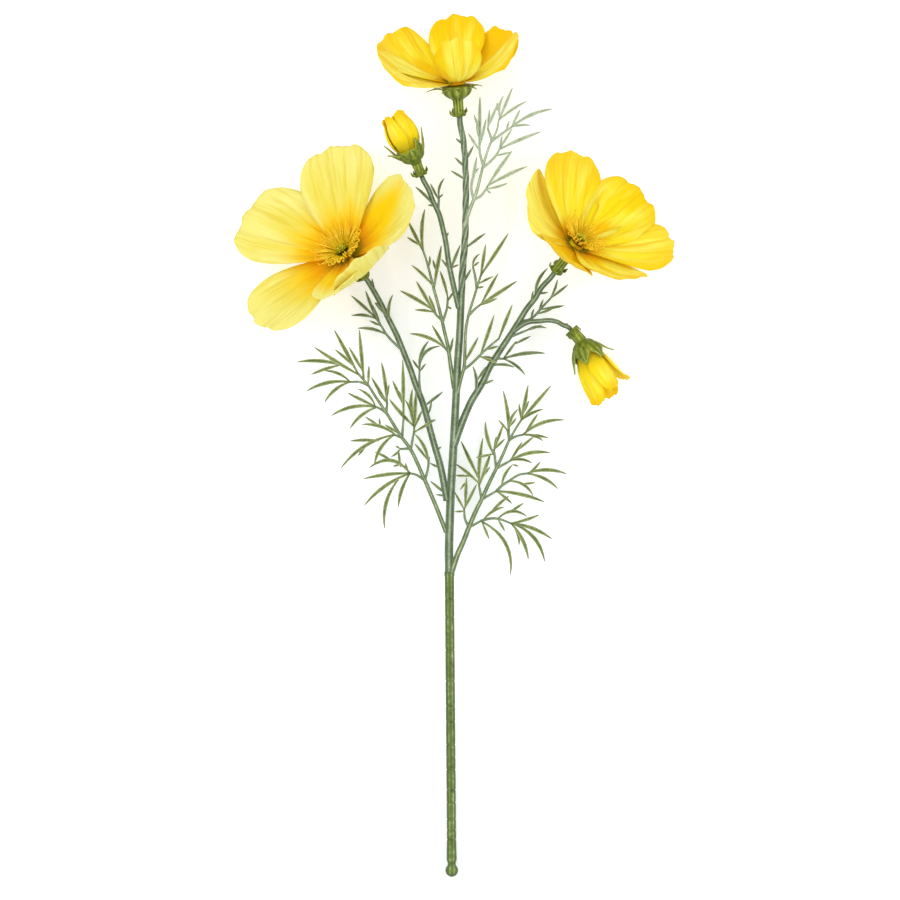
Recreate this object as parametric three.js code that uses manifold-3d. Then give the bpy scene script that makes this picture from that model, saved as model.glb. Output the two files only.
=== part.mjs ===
// An artificial cosmos spray: three yellow blooms, two buds and feathery fronds on one branching
// stem, lying on a table. Millimetres, +Z up. The cut end of the stem is towards -Y and the blooms
// are towards +Y. The origin is under the middle of the whole spray, on the table.

import * as THREE from 'three';
import { mergeVertices } from 'three/addons/utils/BufferGeometryUtils.js';
import Module from 'manifold-3d';

const wasm = await Module();
wasm.setup();

// Driving dimensions of the stems
const FOOT_RADIUS = 4.15; // ball on the cut end, which lies on the table
const STEM_SLOPE = 0.06; // rise of the stem above the table for each mm towards the blooms
const FOOT = [0.6, 0]; // plan point of the middle of the ball on the cut end
const LOWER_STEM_TOP = [-0.9, 189]; // plan point where the green stem ends and the branches start
const LOWER_STEM_RADIUS = 3;
const RING_DEPTH = 0.35; // depth of the moulded grooves round the green stem
const RING_HALF_WIDTH = 0.7;
const RING_DISTANCES = [20, 26, 33, 44, 52, 65, 73, 81, 96, 106, 122, 142, 163, 175]; // from the foot
const STEM_SIDES = 8;
const FROND_SIDES = 6; // of the main rib of a frond
const STEM_FLUTE = 0.86; // every second corner of a branch is drawn in to this share of its radius
const STEM_STEP = 10; // length of one straight piece of a bent stem
const PEG_RADIUS = 1.1; // pegs that carry a bloom, a bud or the branches in the part below
const PEG_LENGTH = 5;
const GAP = 0.3; // room between two pieces that touch
const SIMPLIFY = 0.1; // most that a fused surface may move when needless corners are dropped

// Driving dimensions of the fronds
const SIDE_RIB_RADII = [1.05, 0.8];
const SIDE_RIB_SIDES = 3;
const ANCHOR_STEP = 1.5; // spacing of the points that a side rib or a leaflet can grow from
const LEAFLET_THICKNESS = 0.75;
const LEAFLET_WIDTHS = { base: 1.2, perLength: 0.06, most: 2.9 };
const LEAFLET_STATIONS = [[0, 0.4], [0.5, 1]]; // [share of length, share of width]
const SEPAL_STATIONS = [[0, 0.85], [0.35, 1], [0.62, 0.6], [0.82, 0.24]];
const LEAFLET_ARCH = 0.05; // rise of a leaflet's middle, as a share of its length
const LEAFLET_ROLL = 0.35; // most that a leaflet turns about its own length, in radians
const LOWEST_LEAFLET = 1.2; // height that every leaflet tip keeps above the table

// Driving dimensions of the blooms, along the axis of the bloom from its neck
const COLLAR_PROFILE = [[4.4, 0], [4.6, 1.2], [3.6, 2.2]]; // radius and height from the mouth
const CALYX_PROFILE = [[3.2, 0.33], [3.3, 0.52], [6.2, 0.62], [9.2, 0.77], [9.8, 0.95], [8.6, 1]];
const CALYX_SIDES = 10;
const CALYX_CLEARANCE = 1.6; // from the rim of a calyx to the base of the petals
const FLAP_TURNS = [20, 130, 215, 300];
const BUD_COLLAR_PROFILE = [[4, 0], [4.2, 1.1], [3.3, 2.1], [3, 5.5], [3.3, 9.5]];
const BUD_CUP_PROFILE = [[3, -1.8], [3.6, 0], [6.9, 2.2], [7.9, 4.4], [8, 6.5]];
const BUD_NECK_LENGTH = 9.5;
const BUD_WRAP = 46; // half of the angle that one petal of a bud takes up
const BUD_OVERLAP = 1.1; // how far one edge of such a petal stands out, and the other one in
const SEPAL_CLEARANCE = 2.2; // from the petals of a bud to its sepals
const PETAL_THICKNESS = 0.8;
const PETAL_ACROSS = 6; // flat strips across a petal
const PETAL_ALONG = 4;
const PETAL_CLAW = 0.22; // width of the claw as a share of the petal's width
const PETAL_SHOULDER = 0.7; // share of the length where the round end of a petal begins
const PETAL_ROUNDNESS = 2.6; // exponent of that end: 2 is an ellipse, more is blunter
const PETAL_NOTCH = 0.024; // depth of the notches in that end, as a share of the length
const PETAL_PLEAT = 0.35; // height of the lengthwise pleats
const FILAMENTS = 14;
const SEPALS = 8;

// Each bloom: plan point and height of the base of its petals, its lean from the vertical and the
// length of its neck, from the mouth of the calyx to the base of the petals, and the length of its
// filaments. Each petal: plan direction in degrees, plan reach, rise of its tip, width, belly,
// outward curl of its tip, lift of its left edge, which rolls it, and lift of both edges as a share
// of its width, which cups it.
const BLOOMS = {
  left: {
    centre: [-66.5, 393.5, 28.24], lean: 46, towards: 130, neck: 23.5, filament: 18, pale: true,
    petals: [
      [97, 71, -14, 52, 3, 3, 2, 0.1], [158, 72, -19.7, 59, 3, 3, 2, 0.1],
      [218, 71, 18, 57, 3, 3, 2, 0.1], [250, 26, 50, 34, 4, 3, 2, 0.1],
      [312, 8.5, 50, 46, 13.5, 0, 0, 0.06], [45, 58, 26, 49, 6, 0, 2, 0.1],
    ],
  },
  right: {
    centre: [79.5, 399.5, 29.06], lean: 61, towards: 52, neck: 23.5, filament: 16, pale: false,
    petals: [
      [91, 60, -6, 56, 5, 1, 2, 0.1], [39, 56.5, -27.5, 46, 5, 1, 2, 0.1],
      [1, 63, -6, 46, 5, 1, 2, 0.1], [330, 42, 37, 44, 7, 2, 2, 0.1],
      [226, 10, 55, 42, 8, 2, 0, 0.1], [127, 47.5, 28, 52, 8, 2, -6, 0.06],
    ],
  },
  top: {
    centre: [3.5, 502, 38], lean: 78, towards: 95, neck: 21.5, filament: 13, pale: false,
    petals: [
      [90, 45.5, -27, 36.5, 6, 0, 0, 0.1], [145, 55, -13, 43, 7, 0, -7, 0.1],
      [162, 51, 19, 38, 8, 2, -8, 0.1], [90, 24, 43, 30.5, 9, 0, 0, 0.1],
      [36, 47.5, 19, 34, 8, 1, 7, 0.1], [47, 48, -15, 36, 7, 0, 5, 0.1],
    ],
  },
};

// Each bud: mouth of its collar, [lean, direction] of its neck and of its body, how stout its neck
// is, length of its petals, their radii at base, middle and tip, and the turn of the first one.
// Each petal: reach as a share of the length and outward flare of its tip. Each sepal: turn, rise,
// outward reach, width.
const BUDS = {
  upright: {
    mouth: [-18.5, 443, 35], neck: [84, 112], body: [84, 117], girth: 1,
    length: 27, radii: [6.3, 9.4, 7], turn: 35,
    petals: [[1, 0], [0.95, 0], [0.92, 0], [0.94, 0], [0.98, 0]],
    sepals: [
      [84, 11.6, 13, 8], [34, 7.8, 10.6, 5], [0, 2.6, 9.6, 9], [-42, 3.2, 9.6, 9], [-68, 5.2, 15.5, 7],
      [-95, 11.5, 13.6, 7], [150, 8, 11, 8], [-145, 8, 11, 8],
    ],
  },
  nodding: {
    mouth: [76.5, 346, 19], neck: [90, 312], body: [92, 297], girth: 1.2,
    length: 33.8, radii: [6.5, 11, 11.8], turn: 45,
    petals: [[1, 0], [0.94, 0], [1, 0], [0.83, 4.5], [0.84, 0]],
    sepals: [
      [80, 11, 13.5, 8.5], [18, 8, 10.6, 10], [-42, 8.5, 10.6, 10], [-88, 8, 16.2, 7], [-140, 8, 11, 9],
      [175, 8, 11, 8], [130, 7, 10.5, 8],
    ],
  },
};

// Plan of the stems and fronds, from the middle of the foot. The first rib of each is its main stem
// and the others are side ribs. Each leaflet: its root, its tip and how far it bows to its left.
const LEFT_LOW_FROND = {
  ribs: [
    [
      [-3, 217], [-9.5, 233.5], [-16.5, 250], [-25.5, 269.5], [-32, 278.5], [-41, 293],
      [-48, 303.5], [-52.5, 310.5], [-59, 318],
    ],
    [[-16.5, 250], [-22, 253.5], [-26, 254.5]],
    [[-26, 270], [-32, 270]],
    [[-25.5, 269.5], [-24.5, 275], [-23.5, 280.5]],
    [[-31.5, 277], [-36, 279]],
    [[-41, 293], [-45, 295.5], [-48, 297]],
    [[-40.5, 293], [-40.5, 299]],
    [[-52.5, 310.5], [-58, 312.5], [-64, 312.5]],
    [[-16, 250], [-14.5, 258], [-14, 265]],
    [[-30, 278], [-30, 289.5]],
  ],
  leaves: [
    [-26, 254.5, -55.5, 251, -1], [-26, 254.5, -55, 234, -2.5], [-34.5, 252, -42, 219.5, -3.5],
    [-26, 253.5, -33.5, 233, -1.5], [-26, 256, -52, 258, -6.5], [-36.5, 263.5, -48.5, 268, -0.5],
    [-31.5, 260.5, -33.5, 269.5, 0], [-36, 279, -70, 257.5, -4], [-46, 277, -64, 275, -0.5],
    [-34.5, 279, -56.5, 285.5, -2.5], [-43.5, 285.5, -54.5, 290.5, 0],
    [-33.5, 279.5, -42, 285.5, 0], [-36, 278, -48.5, 260, -2.5], [-47.5, 296.5, -76, 291, -3],
    [-47.5, 295, -64, 283, -2], [-48, 297, -65.5, 305.5, 0], [-48.5, 297.5, -59, 308, -2],
    [-40.5, 299, -44, 325, -0.5], [-40.5, 299, -50.5, 315.5, 0], [-40.5, 301, -39, 311, 0.5],
    [-40.5, 299.5, -46.5, 306.5, 0], [-63.5, 312.5, -91.5, 306.5, -2.5],
    [-63.5, 313, -80, 319.5, -2], [-63.5, 311.5, -80, 299.5, -2], [-59, 317.5, -74, 345.5, 0],
    [-61, 322, -73.5, 333, -0.5], [-58, 317, -86.5, 334.5, 0.5], [-68, 321.5, -97.5, 325, -2],
    [-70.5, 322, -88.5, 317, -0.5], [-54.5, 315, -58, 345.5, 0], [-52, 311, -52, 323, 0],
    [-57, 319.5, -64.5, 334.5, 0], [-23.5, 281, -22, 308, 0], [-23, 283, -18, 295, 0],
    [-25.5, 285, -24.5, 308, 1.5], [-25, 283, -29, 301, -1.5], [-23.5, 281, -10, 288.5, 0],
    [-14.5, 261, -23, 279.5, -2], [-15.5, 263.5, -23, 273.5, 0], [-26, 284, -39, 301.5, 0.5],
    [-30, 289.5, -30.5, 326.5, 0], [-31.5, 297.5, -37, 313.5, 0],
  ],
};

const RIGHT_LOW_FROND = {
  ribs: [
    [
      [0.2, 191.5], [1, 196], [3.2, 203], [7.2, 210.5], [11.5, 220], [16, 230.5], [20, 238.5], [24.5, 248.5],
      [29, 257.5], [33.5, 267], [37, 275], [41.5, 283], [45, 288.5],
    ],
    [[11.5, 220], [15.5, 222], [19, 224]],
    [[19, 224], [24.5, 225.5], [30, 225.5], [38.5, 222.5]],
    [[20, 238], [24.5, 240.5], [29, 243]],
    [[29, 243], [32.5, 246.5], [37, 249.5], [43.5, 253.5], [49.5, 254.5]],
    [[29, 257.5], [33.5, 260], [38, 262.5]],
    [[38, 275], [41.5, 278], [46, 279]],
    [[11, 220], [9, 225.5], [8.5, 231.5]],
    [[19, 238.5], [18, 246.5]],
    [[29, 258], [28, 265.5], [27.5, 269.5]],
    [[36.5, 276], [36, 283]],
  ],
  leaves: [
    [19, 224, 38, 189.5, 7], [20, 223.5, 24.5, 212.5, 0], [20.5, 225.5, 34, 233, 1.5],
    [23.5, 230, 37, 240, 0.5], [30.5, 226, 48.5, 227, 4], [36, 229, 46.5, 235.5, 0],
    [38.5, 223.5, 56.5, 228, -0.5], [39, 222.5, 64.5, 212.5, 2], [39.5, 222, 60, 198, 4.5],
    [39, 222, 49.5, 199.5, 2], [39, 221.5, 43.5, 208.5, 1.5], [29, 243, 60, 236, 1.5],
    [29.5, 242.5, 39, 235, 0.5], [37, 249.5, 52.5, 240, 3], [48.5, 254.5, 74, 254, 2.5],
    [48.5, 254, 68.5, 244.5, 2], [49.5, 254.5, 57, 262, -0.5], [45.5, 248.5, 54, 248.5, 0],
    [32, 247, 39.5, 260, 1.5], [38, 262.5, 63.5, 267.5, 2.5], [38.5, 262, 52, 261, 1.5],
    [38.5, 263, 45.5, 274.5, 0], [41.5, 268, 53, 278, 0], [46, 279, 72.5, 288.5, 3],
    [46.5, 279, 59, 275, 1.5], [47.5, 279, 62.5, 277, 0.5], [46.5, 280.5, 55.5, 292.5, 0],
    [45, 288.5, 64, 310.5, 0], [45, 288, 59, 295.5, 1], [45, 288.5, 49.5, 311, 0],
    [45, 288.5, 43.5, 299, 0], [46, 291, 50, 301, 0], [36.5, 276.5, 33.5, 307, -1],
    [37, 280.5, 43, 295.5, 2], [36, 281.5, 30.5, 288.5, 0], [27.5, 269, 33.5, 286, 0],
    [27.5, 269.5, 29, 278, 0], [28, 269, 34.5, 276.5, 0], [27.5, 266, 22, 287.5, 1.5],
    [27, 266, 16, 264.5, 0], [18.5, 251, 25.5, 267.5, 0], [18.5, 246, 20.5, 277, 1],
    [19, 252, 25, 258.5, 0], [17.5, 248.5, 3, 260.5, -0.5], [12, 251.5, 3, 253, 0],
    [9, 232.5, 16.5, 247.5, 0], [18, 251, 6.5, 275, 0], [8.5, 231.5, 2.5, 242.5, 0],
    [9, 233, 10, 252, 0],
  ],
};

const LEFT_MID_FROND = {
  ribs: [
    [
      [2, 308.5], [0, 322], [-2, 336], [-4, 344.5], [-6, 353.5], [-8.5, 363.5], [-11, 372.5],
      [-13.5, 382.5], [-16, 391.5], [-18, 397],
    ],
    [[-1.5, 331.5], [-4, 334.5]],
    [[-6, 352], [-9, 355], [-12, 359]],
    [[-4.5, 350.5], [-2.5, 359.5], [-2, 366.5]],
    [[-10, 372.5], [-9, 381]],
  ],
  leaves: [
    [-4, 334.5, -26, 343.5, -2], [-3, 333.5, -12, 349, 0], [-12, 359, -32.5, 371, -0.5],
    [-11.5, 358, -22, 377, 0], [-11.5, 356.5, -23, 358.5, -0.5], [-9.5, 355, -14, 368, 0],
    [-2, 366, -7, 383.5, -0.5], [-2, 363, 2, 370.5, 0], [-11.5, 374, -25, 387, -0.5],
    [-9.5, 374, -6, 399.5, 0], [-17.5, 395.5, -27.5, 415.5, 0], [-20.5, 398.5, -28, 405, 0],
    [-17.5, 395.5, -16.5, 422.5, 1.5], [0, 329, 1.5, 341, 0],
  ],
};

const RIGHT_MID_FROND = {
  ribs: [
    [
      [4, 304.5], [6.5, 315], [8.5, 322.5], [9, 334], [9.5, 345.5], [11.5, 356], [14, 364],
      [16.5, 372], [19, 380],
    ],
    [[8.5, 320], [14, 325], [20, 331], [25.5, 336], [30.5, 340]],
    [[11.5, 355], [15.5, 359], [18, 361]],
    [[16, 372.5], [15.5, 379], [14, 385.5]],
  ],
  leaves: [
    [19, 331, 27.5, 355, 0], [30, 340, 39, 361.5, 0], [22, 333, 30.5, 335.5, 0],
    [9, 325, 17.5, 341, 0], [18, 361, 42, 376.5, 0], [18, 360.5, 29.5, 365.5, 0],
    [18.5, 362, 30, 381.5, 0], [19, 380, 36.5, 406.5, 0], [19, 380, 22, 399.5, 0],
    [18, 374.5, 27, 379.5, 0], [14, 385.5, 18.5, 393.5, 1.5], [18, 329.5, 29.5, 324.5, 0],
  ],
};

const TOP_RIGHT_FROND = {
  ribs: [
    [
      [8.5, 411], [11, 419], [13.5, 425.5], [16, 432], [18.5, 441.5], [20.5, 449.5], [23.5, 459.5],
      [26, 465.5], [29, 471.5], [30.5, 478.5],
    ],
    [[16, 428], [19, 430.5], [23, 436]],
    [[21, 448.5], [25, 452], [29, 456.5], [31.5, 461]],
    [[26, 464.5], [30, 468], [34, 471], [38.5, 474]],
    [[14, 428], [13, 435], [13.5, 441.5]],
    [[20, 449.5], [18.5, 457.5], [18, 464]],
    [[25.5, 466], [23.5, 473]],
  ],
  leaves: [
    [23, 436, 39, 459, 0.5], [23.5, 437, 48.5, 449.5, 0.5], [23, 435, 36, 438.5, -0.5],
    [31.5, 460, 57, 470.5, 0.5], [31.5, 461.5, 39, 473, 0], [30.5, 460, 32.5, 468.5, 0],
    [29, 455.5, 38, 458, 0], [38.5, 474, 64.5, 485, 2], [38.5, 473.5, 50.5, 475, 0.5],
    [38.5, 475, 44, 485, 0], [31.5, 479.5, 39, 498.5, 0], [31.5, 478.5, 48, 490, 0.5],
    [30, 479.5, 33.5, 493.5, 1.5], [30, 480.5, 29, 489, 0], [13, 436.5, 16.5, 455.5, 0],
    [18, 459, 11, 470, 0], [18.5, 461, 18.5, 494, 0], [18.5, 471.5, 14.5, 482, 0],
    [19, 462, 22.5, 479.5, 0], [18, 465.5, 16, 475.5, 0], [23.5, 473, 24.5, 485, 0],
    [24.5, 474, 30, 489, 0],
  ],
};

const BUD_BRANCH = {
  ribs: [
    [
      [5, 359.5], [1.5, 374.5], [-1.5, 389], [-3, 400], [-5, 409.5], [-7.5, 419], [-11.5, 427.5],
      [-14, 434],
    ],
    [[-7.5, 421], [-7.5, 429]],
    [[-9, 420.5], [-11.5, 425]],
  ],
  leaves: [
    [-7.5, 429, -4, 441.5, 1.5], [-7.5, 428, -13, 438, 0], [-11.5, 424.5, -22.5, 436, -0.5],
    [-0.5, 384, -6, 390.5, 0], [0.5, 384, 6, 399.5, 0],
  ],
};

const LEFT_BRANCH = {
  ribs: [
    [
      [-2.5, 237], [-4.5, 248.5], [-7, 260.5], [-9.5, 269], [-13, 281.5], [-16, 293], [-18.5, 301],
      [-22.5, 311], [-25.5, 320], [-30, 331.5], [-34.5, 342.5], [-38.5, 350.5], [-43, 359.5],
      [-47.5, 368],
    ],
    [[-30.5, 332], [-36, 337.5], [-41, 343], [-45, 349.5], [-48, 354]],
    [[-18, 301], [-20, 311], [-20, 320.5]],
  ],
  leaves: [
    [-41.5, 343, -59.5, 347, -1.5], [-45, 349.5, -50, 362, 0], [-48, 353.5, -63.5, 368, 0],
    [-48, 353.5, -54.5, 371, 0], [-48, 352, -63.5, 355, -1.5], [-36.5, 352, -37, 368.5, 2],
    [-39, 353.5, -48.5, 363, 0], [-48, 370, -50.5, 379, 0], [-20, 321.5, -14, 339, 2],
    [-19, 322.5, -7, 335.5, 4], [-15.5, 297.5, -5, 306.5, 0], [-4, 241, -13, 249.5, 0],
  ],
};

const RIGHT_BRANCH = {
  ribs: [
    [
      [1.5, 271], [5, 281], [7.6, 288], [10.3, 294.5], [13.2, 300.8], [17.2, 307.2], [20.8, 313.5],
      [24.5, 321.5], [29, 329], [33.5, 336], [38.5, 343.5], [43.5, 351.5], [48.5, 359.5],
      [54, 366.5], [57.5, 372.5],
    ],
    [[29, 326.5], [33.5, 327.5]],
    [[38, 340.5], [43, 343.5], [48, 345.5]],
    [[45.5, 350.5], [50, 352.5], [54.5, 356], [57, 359], [63.5, 366]],
  ],
  leaves: [
    [14, 304, 14, 322.5, -2], [16, 313.5, 22.5, 322.5, 0], [33.5, 327.5, 60, 331, 1.5],
    [33.5, 327, 47.5, 317, 1.5], [27.5, 321.5, 40.5, 322, 1.5], [33.5, 328.5, 42, 339, 0],
    [39.5, 337.5, 51, 342, 0], [48, 345, 61, 347, 1.5], [48, 345.5, 58, 349, 0],
    [55, 366.5, 62, 385.5, 2.5], [63.5, 366, 68, 378, -0.5], [63.5, 366, 75, 375, 0],
    [57, 359, 72.5, 361.5, 0], [54.5, 356, 64.5, 359, 0],
  ],
};

const CENTRE_STEM = {
  ribs: [
    [
      [-0.9, 189.3], [-1.2, 205], [-0.7, 224], [0, 243], [1.2, 263], [2.2, 281.5], [3.2, 301],
      [4.2, 323], [5.6, 342.5], [6.4, 361], [7.5, 384], [9, 403], [9.5, 425.5], [9.5, 441.5], [8.5, 461],
      [6.5, 473.5],
    ],
  ],
  leaves: [
    [7.5, 374, 13, 384.5, 0], [9.5, 397, 22, 407, 0], [9, 441, 0, 446.5, 0],
    [8.5, 448, 2.5, 455, 0], [10, 452.5, 14.5, 462.5, 0],
  ],
};

const NODDING_STALK = {
  ribs: [
    [[39.5, 344.5], [44, 348], [50, 351], [56.5, 351.5], [62.5, 352], [68, 351], [71.5, 349]],
  ],
  leaves: [],
};

// How each spray stands: lift of its main stem over the slope at both ends, its radii, how far its
// leaflets rise and scatter for each mm of length, and the seed of that scatter.
const HABITS = {
  centre_stem: {
    lift: [0, 0], radii: [3, 2], sides: STEM_SIDES, rise: 0.15, scatter: 0.15, seed: 11,
  },
  left_branch: {
    lift: [0.5, -17], radii: [2.4, 1.8], sides: STEM_SIDES, rise: 0.1, scatter: 0.2, seed: 12,
  },
  right_branch: {
    lift: [0.5, -14], radii: [2.6, 1.8], sides: STEM_SIDES, rise: 0.1, scatter: 0.2, seed: 13,
  },
  bud_branch: {
    lift: [1, 6], radii: [1.9, 1.7], sides: STEM_SIDES, rise: 0.2, scatter: 0.15, seed: 14,
  },
  nodding_bud_stalk: {
    lift: [-9.5, -6.5], radii: [1.6, 1.6], sides: STEM_SIDES, rise: 0, scatter: 0, seed: 15,
  },
  left_low_frond: {
    lift: [0.5, 9], radii: [1.6, 0.8], sides: FROND_SIDES, rise: 0.05, scatter: 0.3, seed: 21,
  },
  right_low_frond: {
    lift: [1, -7], radii: [1.9, 0.7], sides: FROND_SIDES, rise: -0.02, scatter: 0.25, seed: 22,
  },
  left_mid_frond: {
    lift: [-0.5, -5], radii: [1.5, 0.7], sides: FROND_SIDES, rise: -0.1, scatter: 0.25, seed: 23,
  },
  right_mid_frond: {
    lift: [1, 6], radii: [1.3, 0.7], sides: FROND_SIDES, rise: 0.15, scatter: 0.25, seed: 24,
  },
  top_right_frond: {
    lift: [1, 5], radii: [1.4, 0.6], sides: FROND_SIDES, rise: 0.05, scatter: 0.3, seed: 25,
  },
};

const UP = new THREE.Vector3(0, 0, 1);

// Small helpers for places and directions
function above(x, y, lift = 0) {
  return new THREE.Vector3(x, y, FOOT_RADIUS + STEM_SLOPE * y + lift);
}

// The direction that leans from the vertical towards a plan direction, both in degrees
function leaning(lean, towards) {
  const [tilt, turn] = [THREE.MathUtils.degToRad(lean), THREE.MathUtils.degToRad(towards)];
  return new THREE.Vector3(Math.sin(tilt) * Math.cos(turn), Math.sin(tilt) * Math.sin(turn), Math.cos(tilt));
}

function along(origin, direction, distance) {
  return origin.clone().addScaledVector(direction, distance);
}

// The same scatter at every build: a plain congruential generator between 0 and 1
function seededRandom(seed) {
  let state = seed;
  return () => {
    state = (Math.imul(state, 1664525) + 1013904223) >>> 0;
    return state / 2 ** 32;
  };
}

// Closed meshes, and joining and cutting them
function toSolid(geometry) {
  geometry.deleteAttribute('normal');
  geometry.deleteAttribute('uv');
  const merged = mergeVertices(geometry);
  const index = merged.index.array;
  const corners = [];
  for (let i = 0; i < index.length; i += 3) {
    const [a, b, c] = [index[i], index[i + 1], index[i + 2]];
    if (a !== b && b !== c && c !== a) {
      corners.push(a, b, c);
    }
  }
  return new wasm.Manifold(new wasm.Mesh({
    numProp: 3,
    vertProperties: new Float32Array(merged.attributes.position.array),
    triVerts: new Uint32Array(corners),
  }));
}

function toGeometry(solid) {
  const { vertProperties, triVerts } = solid.getMesh();
  const geometry = new THREE.BufferGeometry();
  geometry.setAttribute('position', new THREE.BufferAttribute(vertProperties, 3));
  geometry.setIndex(new THREE.BufferAttribute(triVerts, 1));
  geometry.computeVertexNormals();
  return geometry;
}

// Joins pieces into one body and drops corners that hardly change its form
function fuse(solids) {
  return solids.reduce((whole, piece) => whole.add(piece)).simplify(SIMPLIFY);
}

// A skin over rings of equal count, closed by a flat cap at the foot and at the tip. A single point
// in place of the last ring closes it to a tip.
function skin(rings, tip = null) {
  const count = rings[0].length;
  const points = rings.flat();
  const corners = [];
  for (let ring = 0; ring + 1 < rings.length; ring += 1) {
    for (let k = 0; k < count; k += 1) {
      const next = (k + 1) % count;
      const low = ring * count;
      const high = low + count;
      corners.push(low + k, low + next, high + next, low + k, high + next, high + k);
    }
  }
  for (let k = 1; k + 1 < count; k += 1) {
    corners.push(0, k + 1, k);
  }
  const last = (rings.length - 1) * count;
  if (tip) {
    points.push(tip);
    for (let k = 0; k < count; k += 1) {
      corners.push(last + k, last + ((k + 1) % count), points.length - 1);
    }
  } else {
    for (let k = 1; k + 1 < count; k += 1) {
      corners.push(last, last + k, last + k + 1);
    }
  }
  const geometry = new THREE.BufferGeometry().setFromPoints(points);
  geometry.setIndex(corners);
  return toSolid(geometry);
}

// A round or fluted stem along a curve, tapering from one radius to the other
function stem(curve, radii, sides, flute = 1) {
  const steps = Math.max(2, Math.round(curve.getLength() / STEM_STEP));
  const { normals, binormals } = curve.computeFrenetFrames(steps, false);
  const rings = normals.map((normal, step) => {
    const centre = curve.getPointAt(step / steps);
    const radius = THREE.MathUtils.lerp(radii[0], radii[1], step / steps);
    return Array.from({ length: sides }, (_, k) => {
      const angle = (2 * Math.PI * k) / sides;
      const reach = radius * (k % 2 ? flute : 1);
      const point = along(centre, normal, reach * Math.cos(angle));
      return point.addScaledVector(binormals[step], reach * Math.sin(angle));
    });
  });
  return skin(rings);
}

// A narrow blade with a flat underside and a ridge, from its root to its pointed tip
function blade(curve, upwards, width, thickness, stations = LEAFLET_STATIONS) {
  const rings = stations.map(([share, breadth]) => {
    const centre = curve.getPoint(share);
    const ahead = curve.getTangent(share);
    const across = upwards.clone().cross(ahead).normalize();
    const ridge = ahead.clone().cross(across);
    const reach = (breadth * width) / 2;
    return [reach, 0, -reach].map((sideways, i) => {
      const point = along(centre, across, sideways);
      return i === 1 ? point.addScaledVector(ridge, thickness) : point;
    });
  });
  return skin(rings, curve.getPoint(1));
}

// A turned piece whose profile runs from its axis round to its axis again
function turned(profile, sides, origin, axis) {
  const points = profile.map(([radius, height]) => new THREE.Vector2(radius, height));
  const geometry = new THREE.LatheGeometry(points, sides);
  geometry.applyQuaternion(new THREE.Quaternion().setFromUnitVectors(new THREE.Vector3(0, 1, 0), axis));
  geometry.translate(origin.x, origin.y, origin.z);
  return toSolid(geometry);
}

// A socket is the start of a turned profile: a blind hole for a peg, open at the mouth
function socket(depth) {
  const radius = PEG_RADIUS + GAP;
  return [[0, depth + GAP], [radius, depth + GAP], [radius, 0]];
}

// A peg reaches as far into the part beyond its origin as into its own stem
function peg(origin, direction) {
  const profile = [[0, -PEG_LENGTH], [PEG_RADIUS, -PEG_LENGTH], [PEG_RADIUS, PEG_LENGTH], [0, PEG_LENGTH]];
  return turned(profile, STEM_SIDES, origin, direction);
}

// A sheet bent out of a flat grid by a formula, given a thickness
function plate(place, thickness, columns, rows) {
  const sheet = new THREE.PlaneGeometry(2, 1, columns, rows);
  const { position, uv } = sheet.attributes;
  for (let i = 0; i < position.count; i += 1) {
    const point = place(uv.getX(i) * 2 - 1, uv.getY(i));
    position.setXYZ(i, point.x, point.y, point.z);
  }
  sheet.computeVertexNormals();
  const front = [];
  const back = [];
  for (let i = 0; i < position.count; i += 1) {
    const point = new THREE.Vector3().fromBufferAttribute(position, i);
    const normal = new THREE.Vector3().fromBufferAttribute(sheet.attributes.normal, i);
    front.push(along(point, normal, thickness / 2));
    back.push(along(point, normal, -thickness / 2));
  }
  const corners = [];
  const offset = position.count;
  const index = sheet.index.array;
  for (let i = 0; i < index.length; i += 3) {
    corners.push(index[i], index[i + 1], index[i + 2]);
    corners.push(offset + index[i + 2], offset + index[i + 1], offset + index[i]);
  }
  const rim = rimOf(columns, rows);
  rim.forEach((from, i) => {
    const to = rim[(i + 1) % rim.length];
    corners.push(offset + from, offset + to, to, offset + from, to, from);
  });
  const geometry = new THREE.BufferGeometry().setFromPoints([...front, ...back]);
  geometry.setIndex(corners);
  return toSolid(geometry);
}

// The grid points round the edge of a flat grid, anticlockwise seen from its front
function rimOf(columns, rows) {
  const at = (column, row) => row * (columns + 1) + column;
  const rim = [];
  for (let column = 0; column < columns; column += 1) rim.push(at(column, rows));
  for (let row = rows; row > 0; row -= 1) rim.push(at(columns, row));
  for (let column = columns; column > 0; column -= 1) rim.push(at(column, 0));
  for (let row = 0; row < rows; row += 1) rim.push(at(0, row));
  return rim;
}

// The round, shallowly notched end of a petal: how far each lengthwise line reaches
function petalReach(across) {
  const fullness = Math.sqrt(1 - Math.abs(across) ** PETAL_ROUNDNESS);
  const round = PETAL_SHOULDER + (1 - PETAL_SHOULDER) * fullness;
  const notch = (PETAL_NOTCH / 2) * (1 - Math.cos(3 * Math.PI * across));
  return round - notch * (1 - across ** 4);
}

// How wide a petal is along its length, as a share of its full width
function petalSpread(share) {
  return PETAL_CLAW + (1 - PETAL_CLAW) * Math.sin((share * Math.PI) / 2) ** 1.35;
}

// Lengthwise pleats, up at every second line across a petal and down at the others
function pleat(across, share) {
  const line = Math.round(((across + 1) / 2) * PETAL_ACROSS);
  return PETAL_PLEAT * (line % 2 ? 1 : -1) * Math.sin(Math.PI * share);
}

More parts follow.
